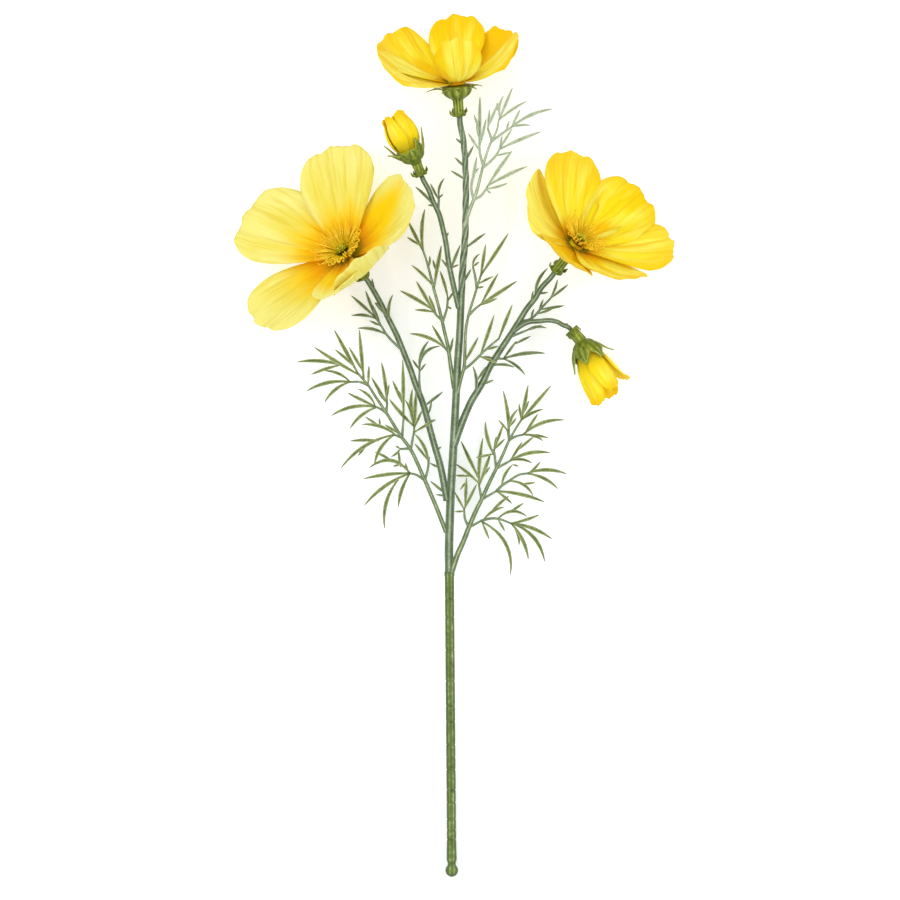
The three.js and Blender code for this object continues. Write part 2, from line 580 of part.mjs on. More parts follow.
function bloomPetal(centre, axis, [direction, reach, rise, width, belly, curl, roll, cupping]) {
  const angle = THREE.MathUtils.degToRad(direction);
  const tip = new THREE.Vector3(reach * Math.cos(angle), reach * Math.sin(angle), rise);
  const outward = tip.clone().addScaledVector(axis, -tip.dot(axis)).normalize();
  const root = along(outward.clone().multiplyScalar(2), axis, 0.4);
  const chord = tip.clone().sub(root);
  const sideways = axis.clone().cross(chord).normalize();
  const inward = chord.clone().normalize().cross(sideways);
  return plate((across, share) => {
    const length = share * petalReach(across);
    const bend = -4 * belly * length * (1 - length) - curl * Math.max(0, (length - 0.55) / 0.45) ** 2;
    const cup = cupping * width * across ** 2 * Math.sin(Math.PI * share * 0.75);
    const lift = bend + cup + pleat(across, share) + roll * across * share;
    const point = centre.clone().add(root).addScaledVector(chord, length);
    point.addScaledVector(sideways, (across * width * petalSpread(share)) / 2);
    return point.addScaledVector(inward, lift);
  }, PETAL_THICKNESS, PETAL_ACROSS, PETAL_ALONG);
}

// The round pad that holds the petals of one bloom together
const RECEPTACLE_PROFILE = [[0, -1.3], [5.8, -1.3], [6, 0.4], [3.6, 2], [0, 2]];
const STAMEN_PAD_PROFILE = [[0, 2.3], [4.4, 2.3], [4.4, 3.2], [0, 3.2]];
const PISTIL_PROFILE = [[0, 3.5], [2.9, 3.5], [3.1, 5], [2.3, 6.8], [0, 7.6]];

function bloomPetals({ petals }, centre, axis) {
  const pad = turned(RECEPTACLE_PROFILE, CALYX_SIDES, centre, axis);
  return fuse([pad, ...petals.map((petal) => bloomPetal(centre, axis, petal))]);
}

// Directions square to an axis, turned round it
function around(axis, degrees) {
  const first = Math.abs(axis.z) > 0.95 ? new THREE.Vector3(1, 0, 0) : UP.clone();
  const square = first.addScaledVector(axis, -first.dot(axis)).normalize();
  return square.applyAxisAngle(axis, THREE.MathUtils.degToRad(degrees));
}

// Places by radius and height beside an axis, on the side that an angle round the axis gives
function placer(origin, axis, degrees) {
  const outward = around(axis, degrees);
  return (radius, height) => along(along(origin, outward, radius), axis, height);
}

function stamens(centre, axis, filament, seed) {
  const random = seededRandom(seed);
  const parts = [turned(STAMEN_PAD_PROFILE, CALYX_SIDES, centre, axis)];
  for (let i = 0; i < FILAMENTS; i += 1) {
    const place = placer(centre, axis, (360 * (i + 0.5 * random())) / FILAMENTS);
    const length = filament * (0.8 + 0.3 * random());
    const height = length * (0.4 + 0.3 * random());
    const steps = [[0, 0], [0.35 * length, 0.75 * height], [0.75 * length, height]];
    const curve = new THREE.QuadraticBezierCurve3(...steps.map(([out, up]) => place(3.8 + out, 2.8 + up)));
    parts.push(blade(curve, axis, 1.3, 0.9));
  }
  return fuse(parts);
}

// The start of a calyx: a collar with a socket for the branch and four small flaps round its mouth
function collar(mouth, axis, profile) {
  const body = turned([...socket(PEG_LENGTH), ...profile, [0, profile.at(-1)[1]]], CALYX_SIDES, mouth, axis);
  const flaps = FLAP_TURNS.map((angle) => {
    const place = placer(mouth, axis, angle);
    const curve = new THREE.QuadraticBezierCurve3(place(3, 1), place(7, 0.6), place(6.4, 4.6));
    return blade(curve, axis, 2.6, 0.8);
  });
  return fuse([body, ...flaps]);
}

function bloomCalyx(mouth, axis, neck, seed) {
  const random = seededRandom(seed);
  const tall = neck - CALYX_CLEARANCE;
  const profile = [...COLLAR_PROFILE, ...CALYX_PROFILE.map(([radius, share]) => [radius, share * tall])];
  const sepals = Array.from({ length: SEPALS }, (_, i) => {
    const place = placer(mouth, axis, (360 * (i + 0.3 * random())) / SEPALS);
    const tip = place(16.5 + 4 * random(), tall * (0.845 + 0.045 * random()));
    const curve = new THREE.QuadraticBezierCurve3(place(7.5, 0.845 * tall), place(13, 0.977 * tall), tip);
    return blade(curve, axis, 2.6, 0.7);
  });
  return fuse([collar(mouth, axis, profile), ...sepals]);
}

function budRadius(radii, share) {
  const [base, middle, tip] = radii;
  const bulge = Math.sin(Math.PI * Math.min(share / 0.9, 1));
  return THREE.MathUtils.lerp(base, tip, share) + (middle - (base + tip) / 2) * bulge;
}

function budPetals({ length, radii, petals, turn }, base, axis) {
  const origin = along(base, axis, BUD_CUP_PROFILE.at(-1)[1] + GAP);
  const foot = radii[0] + 1;
  const pad = turned([[0, 0], [foot, 0], [foot + 0.4, 2], [3, 4], [0, 4.5]], CALYX_SIDES, origin, axis);
  const wraps = petals.map(([reach, flare], i) => plate((across, share) => {
    const height = 0.8 + length * reach * share * (1 - 0.12 * Math.abs(across * share) ** 2.5);
    const halfAngle = BUD_WRAP * (0.75 + 0.25 * Math.sin(Math.PI * share)) * (1 - 0.22 * share ** 3);
    const overlap = BUD_OVERLAP * across * Math.min(1, 4 * share);
    const radius = budRadius(radii, share) + overlap + flare * share ** 3;
    return placer(origin, axis, turn + (360 * i) / petals.length + across * halfAngle)(radius, height);
  }, PETAL_THICKNESS, 4, 4));
  return fuse([pad, ...wraps]);
}

function budCalyx({ mouth, neck, girth, radii, sepals }, base, axis) {
  const [cupRadius, cupHeight] = BUD_CUP_PROFILE.at(-1);
  const cup = turned([[0, -2], ...BUD_CUP_PROFILE, [0, cupHeight]], CALYX_SIDES, base, axis);
  const clear = budRadius(radii, 0.25) + SEPAL_CLEARANCE;
  const blades = sepals.map(([turn, rise, reach, width]) => {
    const place = placer(base, axis, turn);
    const curve = new THREE.CubicBezierCurve3(
      place(cupRadius - 1.6, cupHeight - 3.6), place(clear, cupHeight),
      place(clear, cupHeight + 0.6 * rise), place(reach, cupHeight + rise),
    );
    return blade(curve, around(axis, turn), width, 0.8, SEPAL_STATIONS);
  });
  const tube = BUD_COLLAR_PROFILE.map(([radius, height]) => [radius * girth, height]);
  return fuse([collar(new THREE.Vector3(...mouth), leaning(...neck), tube), cup, ...blades]);
}

// A stem with its side ribs and leaflets, each grown from the nearest point of what is there already
function spray({ ribs, leaves }, { lift, radii, sides, rise, scatter, seed }, ending = []) {
  const random = seededRandom(seed);
  const spread = () => rise + scatter * (2 * random() - 1);
  const anchors = [];
  const nearest = (x, y) => {
    const gap = (point) => (point.x - x) ** 2 + (point.y - y) ** 2;
    return anchors.reduce((best, point) => (gap(point) < gap(best) ? point : best));
  };
  const tip = (root, x, y) => {
    const reach = Math.hypot(x - root.x, y - root.y);
    return new THREE.Vector3(x, y, Math.max(LOWEST_LEAFLET, root.z + reach * spread()));
  };
  const keep = (points) => points.slice(1).forEach((point, i) => {
    const steps = Math.ceil(point.distanceTo(points[i]) / ANCHOR_STEP);
    for (let step = 0; step <= steps; step += 1) {
      anchors.push(points[i].clone().lerp(point, step / steps));
    }
  });

  const [main, ...sideRibs] = ribs;
  const spine = main.map(([x, y], i) => above(x, y, THREE.MathUtils.lerp(...lift, i / (main.length - 1))));
  const mainCurve = new THREE.CatmullRomCurve3([...spine, ...ending]);
  const parts = [stem(mainCurve, radii, sides, STEM_FLUTE)];
  keep(mainCurve.getPoints(10 * spine.length));
  for (const rib of sideRibs) {
    const points = [nearest(...rib[0])];
    for (const [x, y] of rib.slice(1)) {
      points.push(tip(points.at(-1), x, y));
    }
    const curve = new THREE.CatmullRomCurve3(points);
    parts.push(stem(curve, SIDE_RIB_RADII, SIDE_RIB_SIDES));
    keep(points);
  }
  for (const [rootX, rootY, tipX, tipY, bow] of leaves) {
    const root = nearest(rootX, rootY);
    const point = tip(root, tipX, tipY);
    const length = root.distanceTo(point);
    const left = new THREE.Vector3(-(point.y - root.y), point.x - root.x, 0).normalize();
    const middle = root.clone().lerp(point, 0.5).addScaledVector(left, 2 * bow);
    middle.z += 2 * LEAFLET_ARCH * length;
    const curve = new THREE.QuadraticBezierCurve3(root, middle, point);
    const width = Math.min(LEAFLET_WIDTHS.most, LEAFLET_WIDTHS.base + LEAFLET_WIDTHS.perLength * length);
    const ahead = point.clone().sub(root).normalize();
    const upwards = UP.clone().applyAxisAngle(ahead, LEAFLET_ROLL * (2 * random() - 1));
    parts.push(blade(curve, upwards, width, LEAFLET_THICKNESS));
    keep(curve.getPoints(2));
  }
  return { solid: fuse(parts), curve: mainCurve, radii };
}

// The room that a stem needs: what grows beside it is cut back to it
function roomFor({ curve, radii }) {
  return stem(curve, radii.map((radius) => radius + GAP), STEM_SIDES);
}
// Assembly: every piece is a node of its own
const COLOURS = {
  lowerStem: '#5d8237', branch: '#7f8f66', leaf: '#86915f', collar: '#76803c',
  pale: '#f0e58a', golden: '#e9bb2c', stamen: '#c8901f', centre: '#5b5428',
};
const group = new THREE.Group();
group.name = 'cosmos_spray';

// Cutting a root back to its parent stem can leave a loose scrap, so the largest body is kept
function add(name, solid, colour, roughness) {
  const [body] = solid.decompose().sort((a, b) => b.volume() - a.volume());
  const material = new THREE.MeshStandardMaterial({ color: colour, roughness, metalness: 0 });
  const mesh = new THREE.Mesh(toGeometry(body), material);
  mesh.name = name;
  group.add(mesh);
}

// Lower stem: a ringed rod with a ball at its cut end and a socket for the centre stem at its top
const foot = above(...FOOT);
const fork = above(...LOWER_STEM_TOP);
const stemAxis = fork.clone().sub(foot).normalize();
const stemLength = fork.distanceTo(foot);
const rod = [];
for (const angle of [-90, -60, -30, 0, 30, 50]) {
  const turn = THREE.MathUtils.degToRad(angle);
  rod.push([Math.max(0, FOOT_RADIUS * Math.cos(turn)), FOOT_RADIUS * Math.sin(turn)]);
}
rod.push([LOWER_STEM_RADIUS - 0.5, 5.5], [LOWER_STEM_RADIUS, 7]);
for (const distance of RING_DISTANCES) {
  rod.push([LOWER_STEM_RADIUS, distance - RING_HALF_WIDTH]);
  rod.push([LOWER_STEM_RADIUS - RING_DEPTH, distance]);
  rod.push([LOWER_STEM_RADIUS, distance + RING_HALF_WIDTH]);
}
const bore = socket(PEG_LENGTH).map(([radius, depth]) => [radius, stemLength - depth]).reverse();
rod.push([LOWER_STEM_RADIUS, stemLength], ...bore);
add('lower_stem', turned(rod, STEM_SIDES, foot, stemAxis), COLOURS.lowerStem, 0.5);

// Blooms: where each calyx opens for its branch, and its four pieces
const mouths = {};
Object.entries(BLOOMS).forEach(([side, bloom], i) => {
  const axis = leaning(bloom.lean, bloom.towards);
  const centre = new THREE.Vector3(...bloom.centre);
  const mouth = along(centre, axis, -bloom.neck);
  mouths[side] = { mouth, axis };
  add(`${side}_bloom_calyx`, bloomCalyx(mouth, axis, bloom.neck, 41 + i), COLOURS.collar, 0.5);
  const petalColour = bloom.pale ? COLOURS.pale : COLOURS.golden;
  add(`${side}_bloom_petals`, bloomPetals(bloom, centre, axis), petalColour, 0.8);
  add(`${side}_bloom_stamens`, stamens(centre, axis, bloom.filament, 51 + i), COLOURS.stamen, 0.7);
  add(`${side}_bloom_centre`, turned(PISTIL_PROFILE, 10, centre, axis), COLOURS.centre, 0.8);
});

// Buds: a calyx with its bent neck, and the wrapped petals
Object.entries(BUDS).forEach(([side, bud]) => {
  const mouth = new THREE.Vector3(...bud.mouth);
  const axis = leaning(...bud.body);
  const base = along(mouth, leaning(...bud.neck), BUD_NECK_LENGTH);
  mouths[side] = { mouth, axis: leaning(...bud.neck) };
  add(`${side}_bud_calyx`, budCalyx(bud, base, axis), COLOURS.collar, 0.5);
  add(`${side}_bud_petals`, budPetals(bud, base, axis), COLOURS.golden, 0.8);
});

// Stems: the centre stem, then the branches that grow out of it
function carrier(plan, habit, { mouth, axis }, reach) {
  const ending = [along(mouth, axis, -reach), along(mouth, axis, -GAP)];
  const branch = spray(plan, habit, ending);
  return { ...branch, solid: branch.solid.add(peg(mouth, axis)) };
}

const centre = carrier(CENTRE_STEM, HABITS.centre_stem, mouths.top, 4);
const lowerPeg = peg(fork, stemAxis.clone().negate());
add('centre_stem', centre.solid.add(lowerPeg), COLOURS.branch, 0.6);

const branches = {
  left_branch: carrier(LEFT_BRANCH, HABITS.left_branch, mouths.left, 4),
  right_branch: carrier(RIGHT_BRANCH, HABITS.right_branch, mouths.right, 6),
  bud_branch: carrier(BUD_BRANCH, HABITS.bud_branch, mouths.upright, 3),
  nodding_bud_stalk: carrier(NODDING_STALK, HABITS.nodding_bud_stalk, mouths.nodding, 2),
};
for (const [name, branch] of Object.entries(branches)) {
  const parent = name === 'nodding_bud_stalk' ? branches.right_branch : centre;
  add(name, branch.solid.subtract(roomFor(parent)), COLOURS.branch, 0.6);
}

const fronds = {
  left_low_frond: LEFT_LOW_FROND,
  right_low_frond: RIGHT_LOW_FROND,
  left_mid_frond: LEFT_MID_FROND,
  right_mid_frond: RIGHT_MID_FROND,
  top_right_frond: TOP_RIGHT_FROND,
};
for (const [name, plan] of Object.entries(fronds)) {
  const cut = spray(plan, HABITS[name]).solid.subtract(roomFor(centre));
  add(name, cut, COLOURS.leaf, 0.7);
}

// The spray stands on the table, with the origin under its middle
const box = new THREE.Box3().setFromObject(group);
const middle = box.getCenter(new THREE.Vector3());
group.position.set(-middle.x, -middle.y, -box.min.z);
group.updateMatrixWorld(true);

export default group;
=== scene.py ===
# %% [markdown]
# # A cosmos spray, dressed for the camera
# The real object is an artificial cosmos: three yellow cloth blooms and two buds on moulded green
# stems, with feathery fronds of soft plastic. It lies on a table, with its cut end towards the viewer.
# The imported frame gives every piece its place. Each piece is made again here with a finer form.

import math
import bpy
from mathutils import Matrix, Vector, kdtree


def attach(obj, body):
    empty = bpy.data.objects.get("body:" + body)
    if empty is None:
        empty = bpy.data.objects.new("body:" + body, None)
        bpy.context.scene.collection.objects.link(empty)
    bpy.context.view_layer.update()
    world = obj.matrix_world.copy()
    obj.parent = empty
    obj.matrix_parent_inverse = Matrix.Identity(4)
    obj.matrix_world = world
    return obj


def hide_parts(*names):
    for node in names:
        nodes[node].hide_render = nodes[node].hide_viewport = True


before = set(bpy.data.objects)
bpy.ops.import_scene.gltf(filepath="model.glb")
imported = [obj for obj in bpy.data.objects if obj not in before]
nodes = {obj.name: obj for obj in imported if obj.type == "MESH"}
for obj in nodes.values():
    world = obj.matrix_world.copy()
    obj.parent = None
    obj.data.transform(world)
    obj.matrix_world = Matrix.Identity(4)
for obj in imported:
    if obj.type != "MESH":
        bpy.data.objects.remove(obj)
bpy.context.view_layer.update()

# %% [markdown]
# ## One drawing, one frame
# All plan sizes below are in millimetres from the middle of the ball on the cut end of the stem, the
# way a maker would measure the spray with a ruler. The frame has its origin under the middle of the
# spray, so the ball is looked up in the frame once, and every place is moved by the same amount.

# %% Places and directions
MM = 0.001
FOOT_RADIUS = 4.15
STEM_SLOPE = 0.06
FOOT_TIP = Vector((0.633, -4.142, 3.901))  # lowest point of the ball along the stem, in the drawing
found_tip = min((v.co.copy() for v in nodes["lower_stem"].data.vertices), key=lambda point: point.y)
SHIFT = found_tip - FOOT_TIP * MM
print("the drawing is moved by", [round(v * 1000, 2) for v in SHIFT], "mm")


def above(x, y, lift=0.0):
    """A point over the sloping line of the stem, in drawing millimetres."""
    return Vector((x, y, FOOT_RADIUS + STEM_SLOPE * y + lift))


def leaning(lean, towards):
    """The direction that leans from the vertical towards a plan direction, both in degrees."""
    tilt, turn = math.radians(lean), math.radians(towards)
    return Vector((math.sin(tilt) * math.cos(turn), math.sin(tilt) * math.sin(turn), math.cos(tilt)))


def around(axis, degrees):
    """A direction square to an axis, turned round it from the side that faces up."""
    square = Vector((0, 0, 1)) - axis * axis.z
    return Matrix.Rotation(math.radians(degrees), 3, axis) @ square.normalized()


def placer(origin, axis, degrees):
    """Places by radius and height beside an axis."""
    outward = around(axis, degrees)
    return lambda radius, height: origin + outward * radius + axis * height


def scatter(seed):
    """Numbers scattered between 0 and 1, the same in every run."""
    state = seed
    while True:
        state = (state * 1664525 + 1013904223) % 2**32
        yield state / 2**32


def mix(a, b, share):
    return a + (b - a) * share


# %% [markdown]
# ## Working by hand, in code
# An operator acts on whatever is selected, so each step starts by selecting one piece alone. A piece
# is shaped in drawing millimetres, and at the end its place goes into its mesh, in metres.

# %% Selecting and shaping a piece
def alone(*pieces):
    if bpy.context.object and bpy.context.object.mode != "OBJECT":
        bpy.ops.object.mode_set(mode="OBJECT")
    bpy.ops.object.select_all(action="DESELECT")
    for piece in pieces:
        piece.select_set(True)
    bpy.context.view_layer.objects.active = pieces[0]


def modified(piece, kind, **values):
    """Adds one modifier with these values and applies it."""
    alone(piece)
    modifier = piece.modifiers.new(kind.title(), kind)
    for key, value in values.items():
        setattr(modifier, key, value)
    bpy.ops.object.modifier_apply(modifier=modifier.name)
    return piece


def toned(piece, tone, kind="tone"):
    """Keeps one number for each corner of a mesh: 0 for painted shade in grooves, 1 for painted highlights
    on ridges and for tips. It is given as one number for all, as a rule that reads a corner, or as a list."""
    corners, layers = piece.data.vertices, piece.data.attributes
    if callable(tone):
        tone = [tone(corner) for corner in corners]
    elif not isinstance(tone, list):
        tone = [tone] * len(corners)
    (layers.get(kind) or layers.new(kind, "FLOAT", "POINT")).data.foreach_set("value", tone)
    return piece


# %% Starting a piece and opening it for editing
def flat_grid(name, columns, rows):
    """A flat square sheet, from -1 to 1 both ways, to be shaped corner by corner."""
    bpy.ops.mesh.primitive_grid_add(x_subdivisions=columns, y_subdivisions=rows, size=2)
    bpy.context.object.name = name
    return bpy.context.object


def new_piece(name, data):
    piece = bpy.data.objects.new(name, data)
    bpy.context.collection.objects.link(piece)
    return piece


def edit_all():
    """Opens the piece at hand for editing, with all of it selected."""
    bpy.ops.object.mode_set(mode="EDIT")
    bpy.ops.mesh.select_all(action="SELECT")


# %% Finishing a piece
def finished(name, parts, material, slot, stands_for):
    """Joins parts that were drawn in millimetres, gives them their finish and puts them in the frame."""
    alone(*parts)
    if len(parts) > 1:
        bpy.ops.object.join()
    piece = bpy.context.object
    piece.name = piece.data.name = name
    piece.data.transform(Matrix.Translation(SHIFT) @ Matrix.Scale(MM, 4))
    piece.data.materials.clear()
    piece.data.materials.append(material)
    bpy.ops.object.shade_smooth()
    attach(piece, "root")
    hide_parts(stands_for)
    piece.data.calc_loop_triangles()
    print(name, len(piece.data.loop_triangles), "triangles")


# %% [markdown]
# ## Colours that follow the piece
# A few effects come back in several finishes, so each is a node group. Moulded plastic is painted
# pale on its ridges and dark in its grooves, a painted highlight and painted shade, and every mesh
# keeps a number for that, its tone. The mottling over it reads the place on the piece, so it stays
# put when the camera moves.

# %% Helpers for shader nodes
def shader_node(tree, kind, inputs=None, **settings):
    """Adds a node, sets its settings, and sets or links its inputs."""
    made = tree.nodes.new(kind)
    for key, value in settings.items():
        setattr(made, key, value)
    for key, value in (inputs or {}).items():
        if isinstance(value, bpy.types.NodeSocket):
            tree.links.new(value, made.inputs[key])
        else:
            made.inputs[key].default_value = value
    return made


def sums(tree):
    """Three helpers for one tree: a times b, a plus b, and a less b."""
    def helper(operation):
        return lambda a, b, clamp=False: shader_node(
            tree, "ShaderNodeMath", {0: a, 1: b}, operation=operation, use_clamp=clamp
        ).outputs[0]
    return helper("MULTIPLY"), helper("ADD"), helper("SUBTRACT")


def ramped(tree, value, low, high):
    """0 below low, 1 above high, smooth between them."""
    return shader_node(
        tree, "ShaderNodeMapRange", {"Value": value, "From Min": low, "From Max": high},
        interpolation_type="SMOOTHSTEP",
    ).outputs["Result"]


def noise(tree, place, scale, detail=3.0, roughness=0.5):
    inputs = {"Vector": place, "Scale": scale, "Detail": detail, "Roughness": roughness}
    return shader_node(tree, "ShaderNodeTexNoise", inputs).outputs["Fac"]


# %% Reading the piece, mixing colours, starting a group
def kept(tree, name):
    """A number that the mesh keeps for each of its corners."""
    return shader_node(tree, "ShaderNodeAttribute", attribute_name=name).outputs["Fac"]


def where(tree):
    """The place on the piece."""
    return shader_node(tree, "ShaderNodeTexCoord").outputs["Object"]


def blended(tree, share, a, b):
    """Colour a, turning into colour b as the share goes from 0 to 1."""
    return shader_node(tree, "ShaderNodeMix", {0: share, 6: a, 7: b}, data_type="RGBA").outputs[2]


def colour(red, green, blue):
    """A colour as a paint chart gives it, 0 to 255, in the linear form that shaders use."""
    def linear(part):
        part /= 255
        return part / 12.92 if part <= 0.04045 else ((part + 0.055) / 1.055) ** 2.4
    return (linear(red), linear(green), linear(blue), 1.0)


def new_group(name, colours, numbers, results):
    """A node group that is given colours and numbers, and that makes a colour and other results."""
    group = bpy.data.node_groups.new(name, "ShaderNodeTree")
    for way, kind, labels in (
        ("INPUT", "Color", colours), ("INPUT", "Float", numbers),
        ("OUTPUT", "Color", ["Colour"]), ("OUTPUT", "Float", results),
    ):
        for label in labels:
            group.interface.new_socket(name=label, in_out=way, socket_type="NodeSocket" + kind)
    return group, group.nodes.new("NodeGroupInput").outputs, group.nodes.new("NodeGroupOutput").inputs


# %% Node group: moulded plastic with painted highlights on ridges, painted shade in grooves, and mottling
def make_moulded():
    group, given, result = new_group(
        "moulded_plastic", ["Colour", "Pale", "Dark", "Stalk"], ["Contrast", "Size", "Dullness"],
        ["Roughness", "Height"],
    )
    times, plus, less = sums(group)
    place, size, contrast = where(group), given["Size"], given["Contrast"]
    grain_scale, patch_scale, speck_scale = 620.0, 150.0, 2600.0  # waves in a metre
    fine = noise(group, place, times(size, grain_scale))
    patches = noise(group, place, times(size, patch_scale), 4.0)
    specks = noise(group, place, speck_scale, 2.0)
    wander, drift = times(less(fine, 0.5), 1.1), times(less(patches, 0.5), 0.9)
    level = plus(plus(kept(group, "tone"), wander), drift)
    # A high tone turns to the pale colour, a painted highlight on ridges; a low tone turns to the dark
    # colour, painted shade in grooves, or the own dark colour of a piece such as the green feet of
    # filaments
    pale = times(ramped(group, level, 0.5, 1.15), contrast, clamp=True)
    dark = times(less(1.0, ramped(group, level, -0.15, 0.5)), contrast, clamp=True)
    shade = blended(group, kept(group, "stalk"), given["Colour"], given["Stalk"])
    shade = blended(group, pale, shade, given["Pale"])
    group.links.new(blended(group, dark, shade, given["Dark"]), result["Colour"])
    group.links.new(plus(times(fine, 0.3), given["Dullness"]), result["Roughness"])
    group.links.new(plus(fine, times(specks, 0.4)), result["Height"])
    return group


moulded_plastic = make_moulded()
print("node group made:", moulded_plastic.name)

# %% [markdown]
# ## Dyed cloth petals
# The petals are thin cloth, dyed in one go: orange at the claw, fading to yellow, with fine veins
# that fan out to the tip. Each petal is unrolled on a square: across its width and along its length.
# The veins are lines of equal place across, so they close up at the claw by themselves, as real veins
# do.

# %% Node group: dye, veins, and painted highlights and shade of a cloth petal
def make_dyed():
    group, given, result = new_group(
        "dyed_petal", ["Tip", "Body", "Gold", "Claw", "Throat", "Fold", "Gleam"],
        ["Dye Reach", "Throat Reach", "Contrast"], ["Height"],
    )
    times, plus, less = sums(group)
    place, contrast = where(group), given["Contrast"]
    own, painted_shade, glow, inner = (kept(group, name) for name in ("tone", "painted_shade", "glow", "inner"))
    flat = shader_node(group, "ShaderNodeUVMap").outputs["UV"]
    across, along, _ = shader_node(group, "ShaderNodeSeparateXYZ", {0: flat}).outputs

    def rough_noise(vector, scale, detail=3.0):
        return noise(group, vector, scale, detail, 0.55)

    def swing(value, amount):
        """Turns a noise from 0 to 1 into a small shift both ways."""
        return times(less(value, 0.5), amount)

    def streaks(count, length):
        inputs = {"X": times(shifted, count), "Y": times(along, length), "Z": times(own, 7.0)}
        return rough_noise(shader_node(group, "ShaderNodeCombineXYZ", inputs).outputs[0], 1.0)

    def within(height, reach, start, end):
        """1 up to a share of the reach, 0 from another share of it on."""
        return less(1.0, ramped(group, height, times(reach, start), times(reach, end)))

    shifted = plus(across, swing(rough_noise(place, 95.0), 0.05))
    broad, lines, threads = streaks(3.4, 0.9), streaks(15.0, 1.1), streaks(58.0, 2.0)
    cloudy, weave = rough_noise(place, 42.0, 4.0), rough_noise(place, 1900.0, 2.0)
    drifting = plus(along, swing(cloudy, 0.6))
    tone = blended(group, ramped(group, drifting, 0.55, 1.0), given["Body"], given["Tip"])
    # Painted highlight: broad lengthwise bands in the middle of a petal, and the bands a petal keeps as
    # glow, turn to the gleam colour
    middle = times(ramped(group, along, 0.12, 0.4), less(1.0, ramped(group, along, 0.7, 1.0)))
    lit = times(ramped(group, broad, 0.42, 0.58), plus(middle, 0.15))
    tone = blended(group, plus(times(lit, contrast), glow, clamp=True), tone, given["Gleam"])
    # Painted shade along the fold lines, in the fold colour; the veins below are the cloth's own dye, in
    # the same colour
    creased = less(1.0, ramped(group, lines, 0.32, 0.52))
    tone = blended(group, times(creased, contrast), tone, given["Fold"])
    reach = times(given["Dye Reach"], plus(0.8, times(own, 0.4)))
    ragged = plus(along, swing(lines, -0.4))
    # Painted shade: where a petal keeps painted shade, the real gold of the dye is drawn further up
    tone = blended(group, within(less(ragged, painted_shade), reach, 0.75, 1.75), tone, given["Gold"])
    tone = blended(group, within(ragged, reach, 0.4, 1.2), tone, given["Claw"])
    # Painted shade in the hollow round the middle: the inner face near the claw turns to the olive throat
    # colour
    hollow = within(plus(along, swing(lines, -0.12)), given["Throat Reach"], 0.35, 1.0)
    tone = blended(group, times(hollow, inner), tone, given["Throat"])
    fade = less(1.0, ramped(group, along, 0.2, 0.95))
    vein = times(times(ramped(group, threads, 0.56, 0.72), fade), contrast)
    group.links.new(blended(group, vein, tone, given["Fold"]), result["Colour"])
    relief = plus(times(lines, 0.8), times(threads, 0.22))
    group.links.new(plus(relief, times(weave, 0.08)), result["Height"])
    return group


dyed_petal = make_dyed()
print("node group made:", dyed_petal.name)

# %% [markdown]
# ## The finishes
# Every finish is one Principled shader with its own values, and a bump gives it a fine relief. The
# relief could be modelled, but it is finer than the meshes are.

# %% A shader and its relief
def principled(name, **values):
    material = bpy.data.materials.new(name)
    material.use_nodes = True
    shader = material.node_tree.nodes["Principled BSDF"]
    for key, value in values.items():
        shader.inputs[key.replace("_", " ").title().replace("Ior", "IOR")].default_value = value
    return material, material.node_tree, shader


def with_relief(tree, shader, height, strength, distance):
    bump = shader_node(
        tree, "ShaderNodeBump", {"Height": height, "Strength": strength, "Distance": distance}
    )
    tree.links.new(bump.outputs[0], shader.inputs["Normal"])


# %% [markdown]
# ## Three cloths
# Dyed cloth is dull, with a faint sheen, and lets a little light through. The three cloths share one
# node group and differ in their dyes. The orange claw is long and strong on the pale bloom and short
# on the golden ones.

# %% The cloths of the pale bloom, the golden blooms and the buds
def cloth(name, dye_reach, throat_reach, contrast, **dyes):
    material, tree, shader = principled(
        name, roughness=0.7, specular_ior_level=0.12, sheen_weight=0.04, sheen_roughness=0.4,
        subsurface_weight=0.2, subsurface_scale=0.002, subsurface_radius=(1.0, 0.75, 0.25),
    )
    inputs = {"Dye Reach": dye_reach, "Throat Reach": throat_reach, "Contrast": contrast}
    inputs.update((part.title(), colour(*dye)) for part, dye in dyes.items())
    made = shader_node(tree, "ShaderNodeGroup", inputs, node_tree=dyed_petal)
    tree.links.new(made.outputs["Colour"], shader.inputs["Base Color"])
    with_relief(tree, shader, made.outputs["Height"], 0.6, 0.0006)
    return material


# Besides the dyes, each cloth gives its painted colours: gleam for the painted highlight, fold for the
# painted shade in folds and for the veins, throat for the painted shade in the hollow
pale_cloth = cloth(
    "pale_petal_cloth", dye_reach=0.36, throat_reach=0.23, contrast=0.6,
    tip=(236, 226, 124), body=(233, 218, 92), gold=(246, 204, 0), claw=(236, 164, 0), throat=(128, 126, 4),
    fold=(220, 196, 58), gleam=(244, 236, 146),
)
golden_cloth = cloth(
    "golden_petal_cloth", dye_reach=0.2, throat_reach=0.16, contrast=0.75,
    tip=(243, 199, 2), body=(247, 223, 18), gold=(243, 196, 0), claw=(236, 170, 0), throat=(122, 132, 8),
    fold=(238, 191, 4), gleam=(248, 234, 94),
)
bud_cloth = cloth(
    "bud_petal_cloth", dye_reach=0.34, throat_reach=0.1, contrast=0.55,
    tip=(250, 198, 2), body=(250, 224, 34), gold=(244, 212, 14), claw=(206, 184, 22), throat=(140, 138, 18),
    fold=(238, 198, 12), gleam=(254, 238, 90),
)
print("cloths:", len(bpy.data.materials))
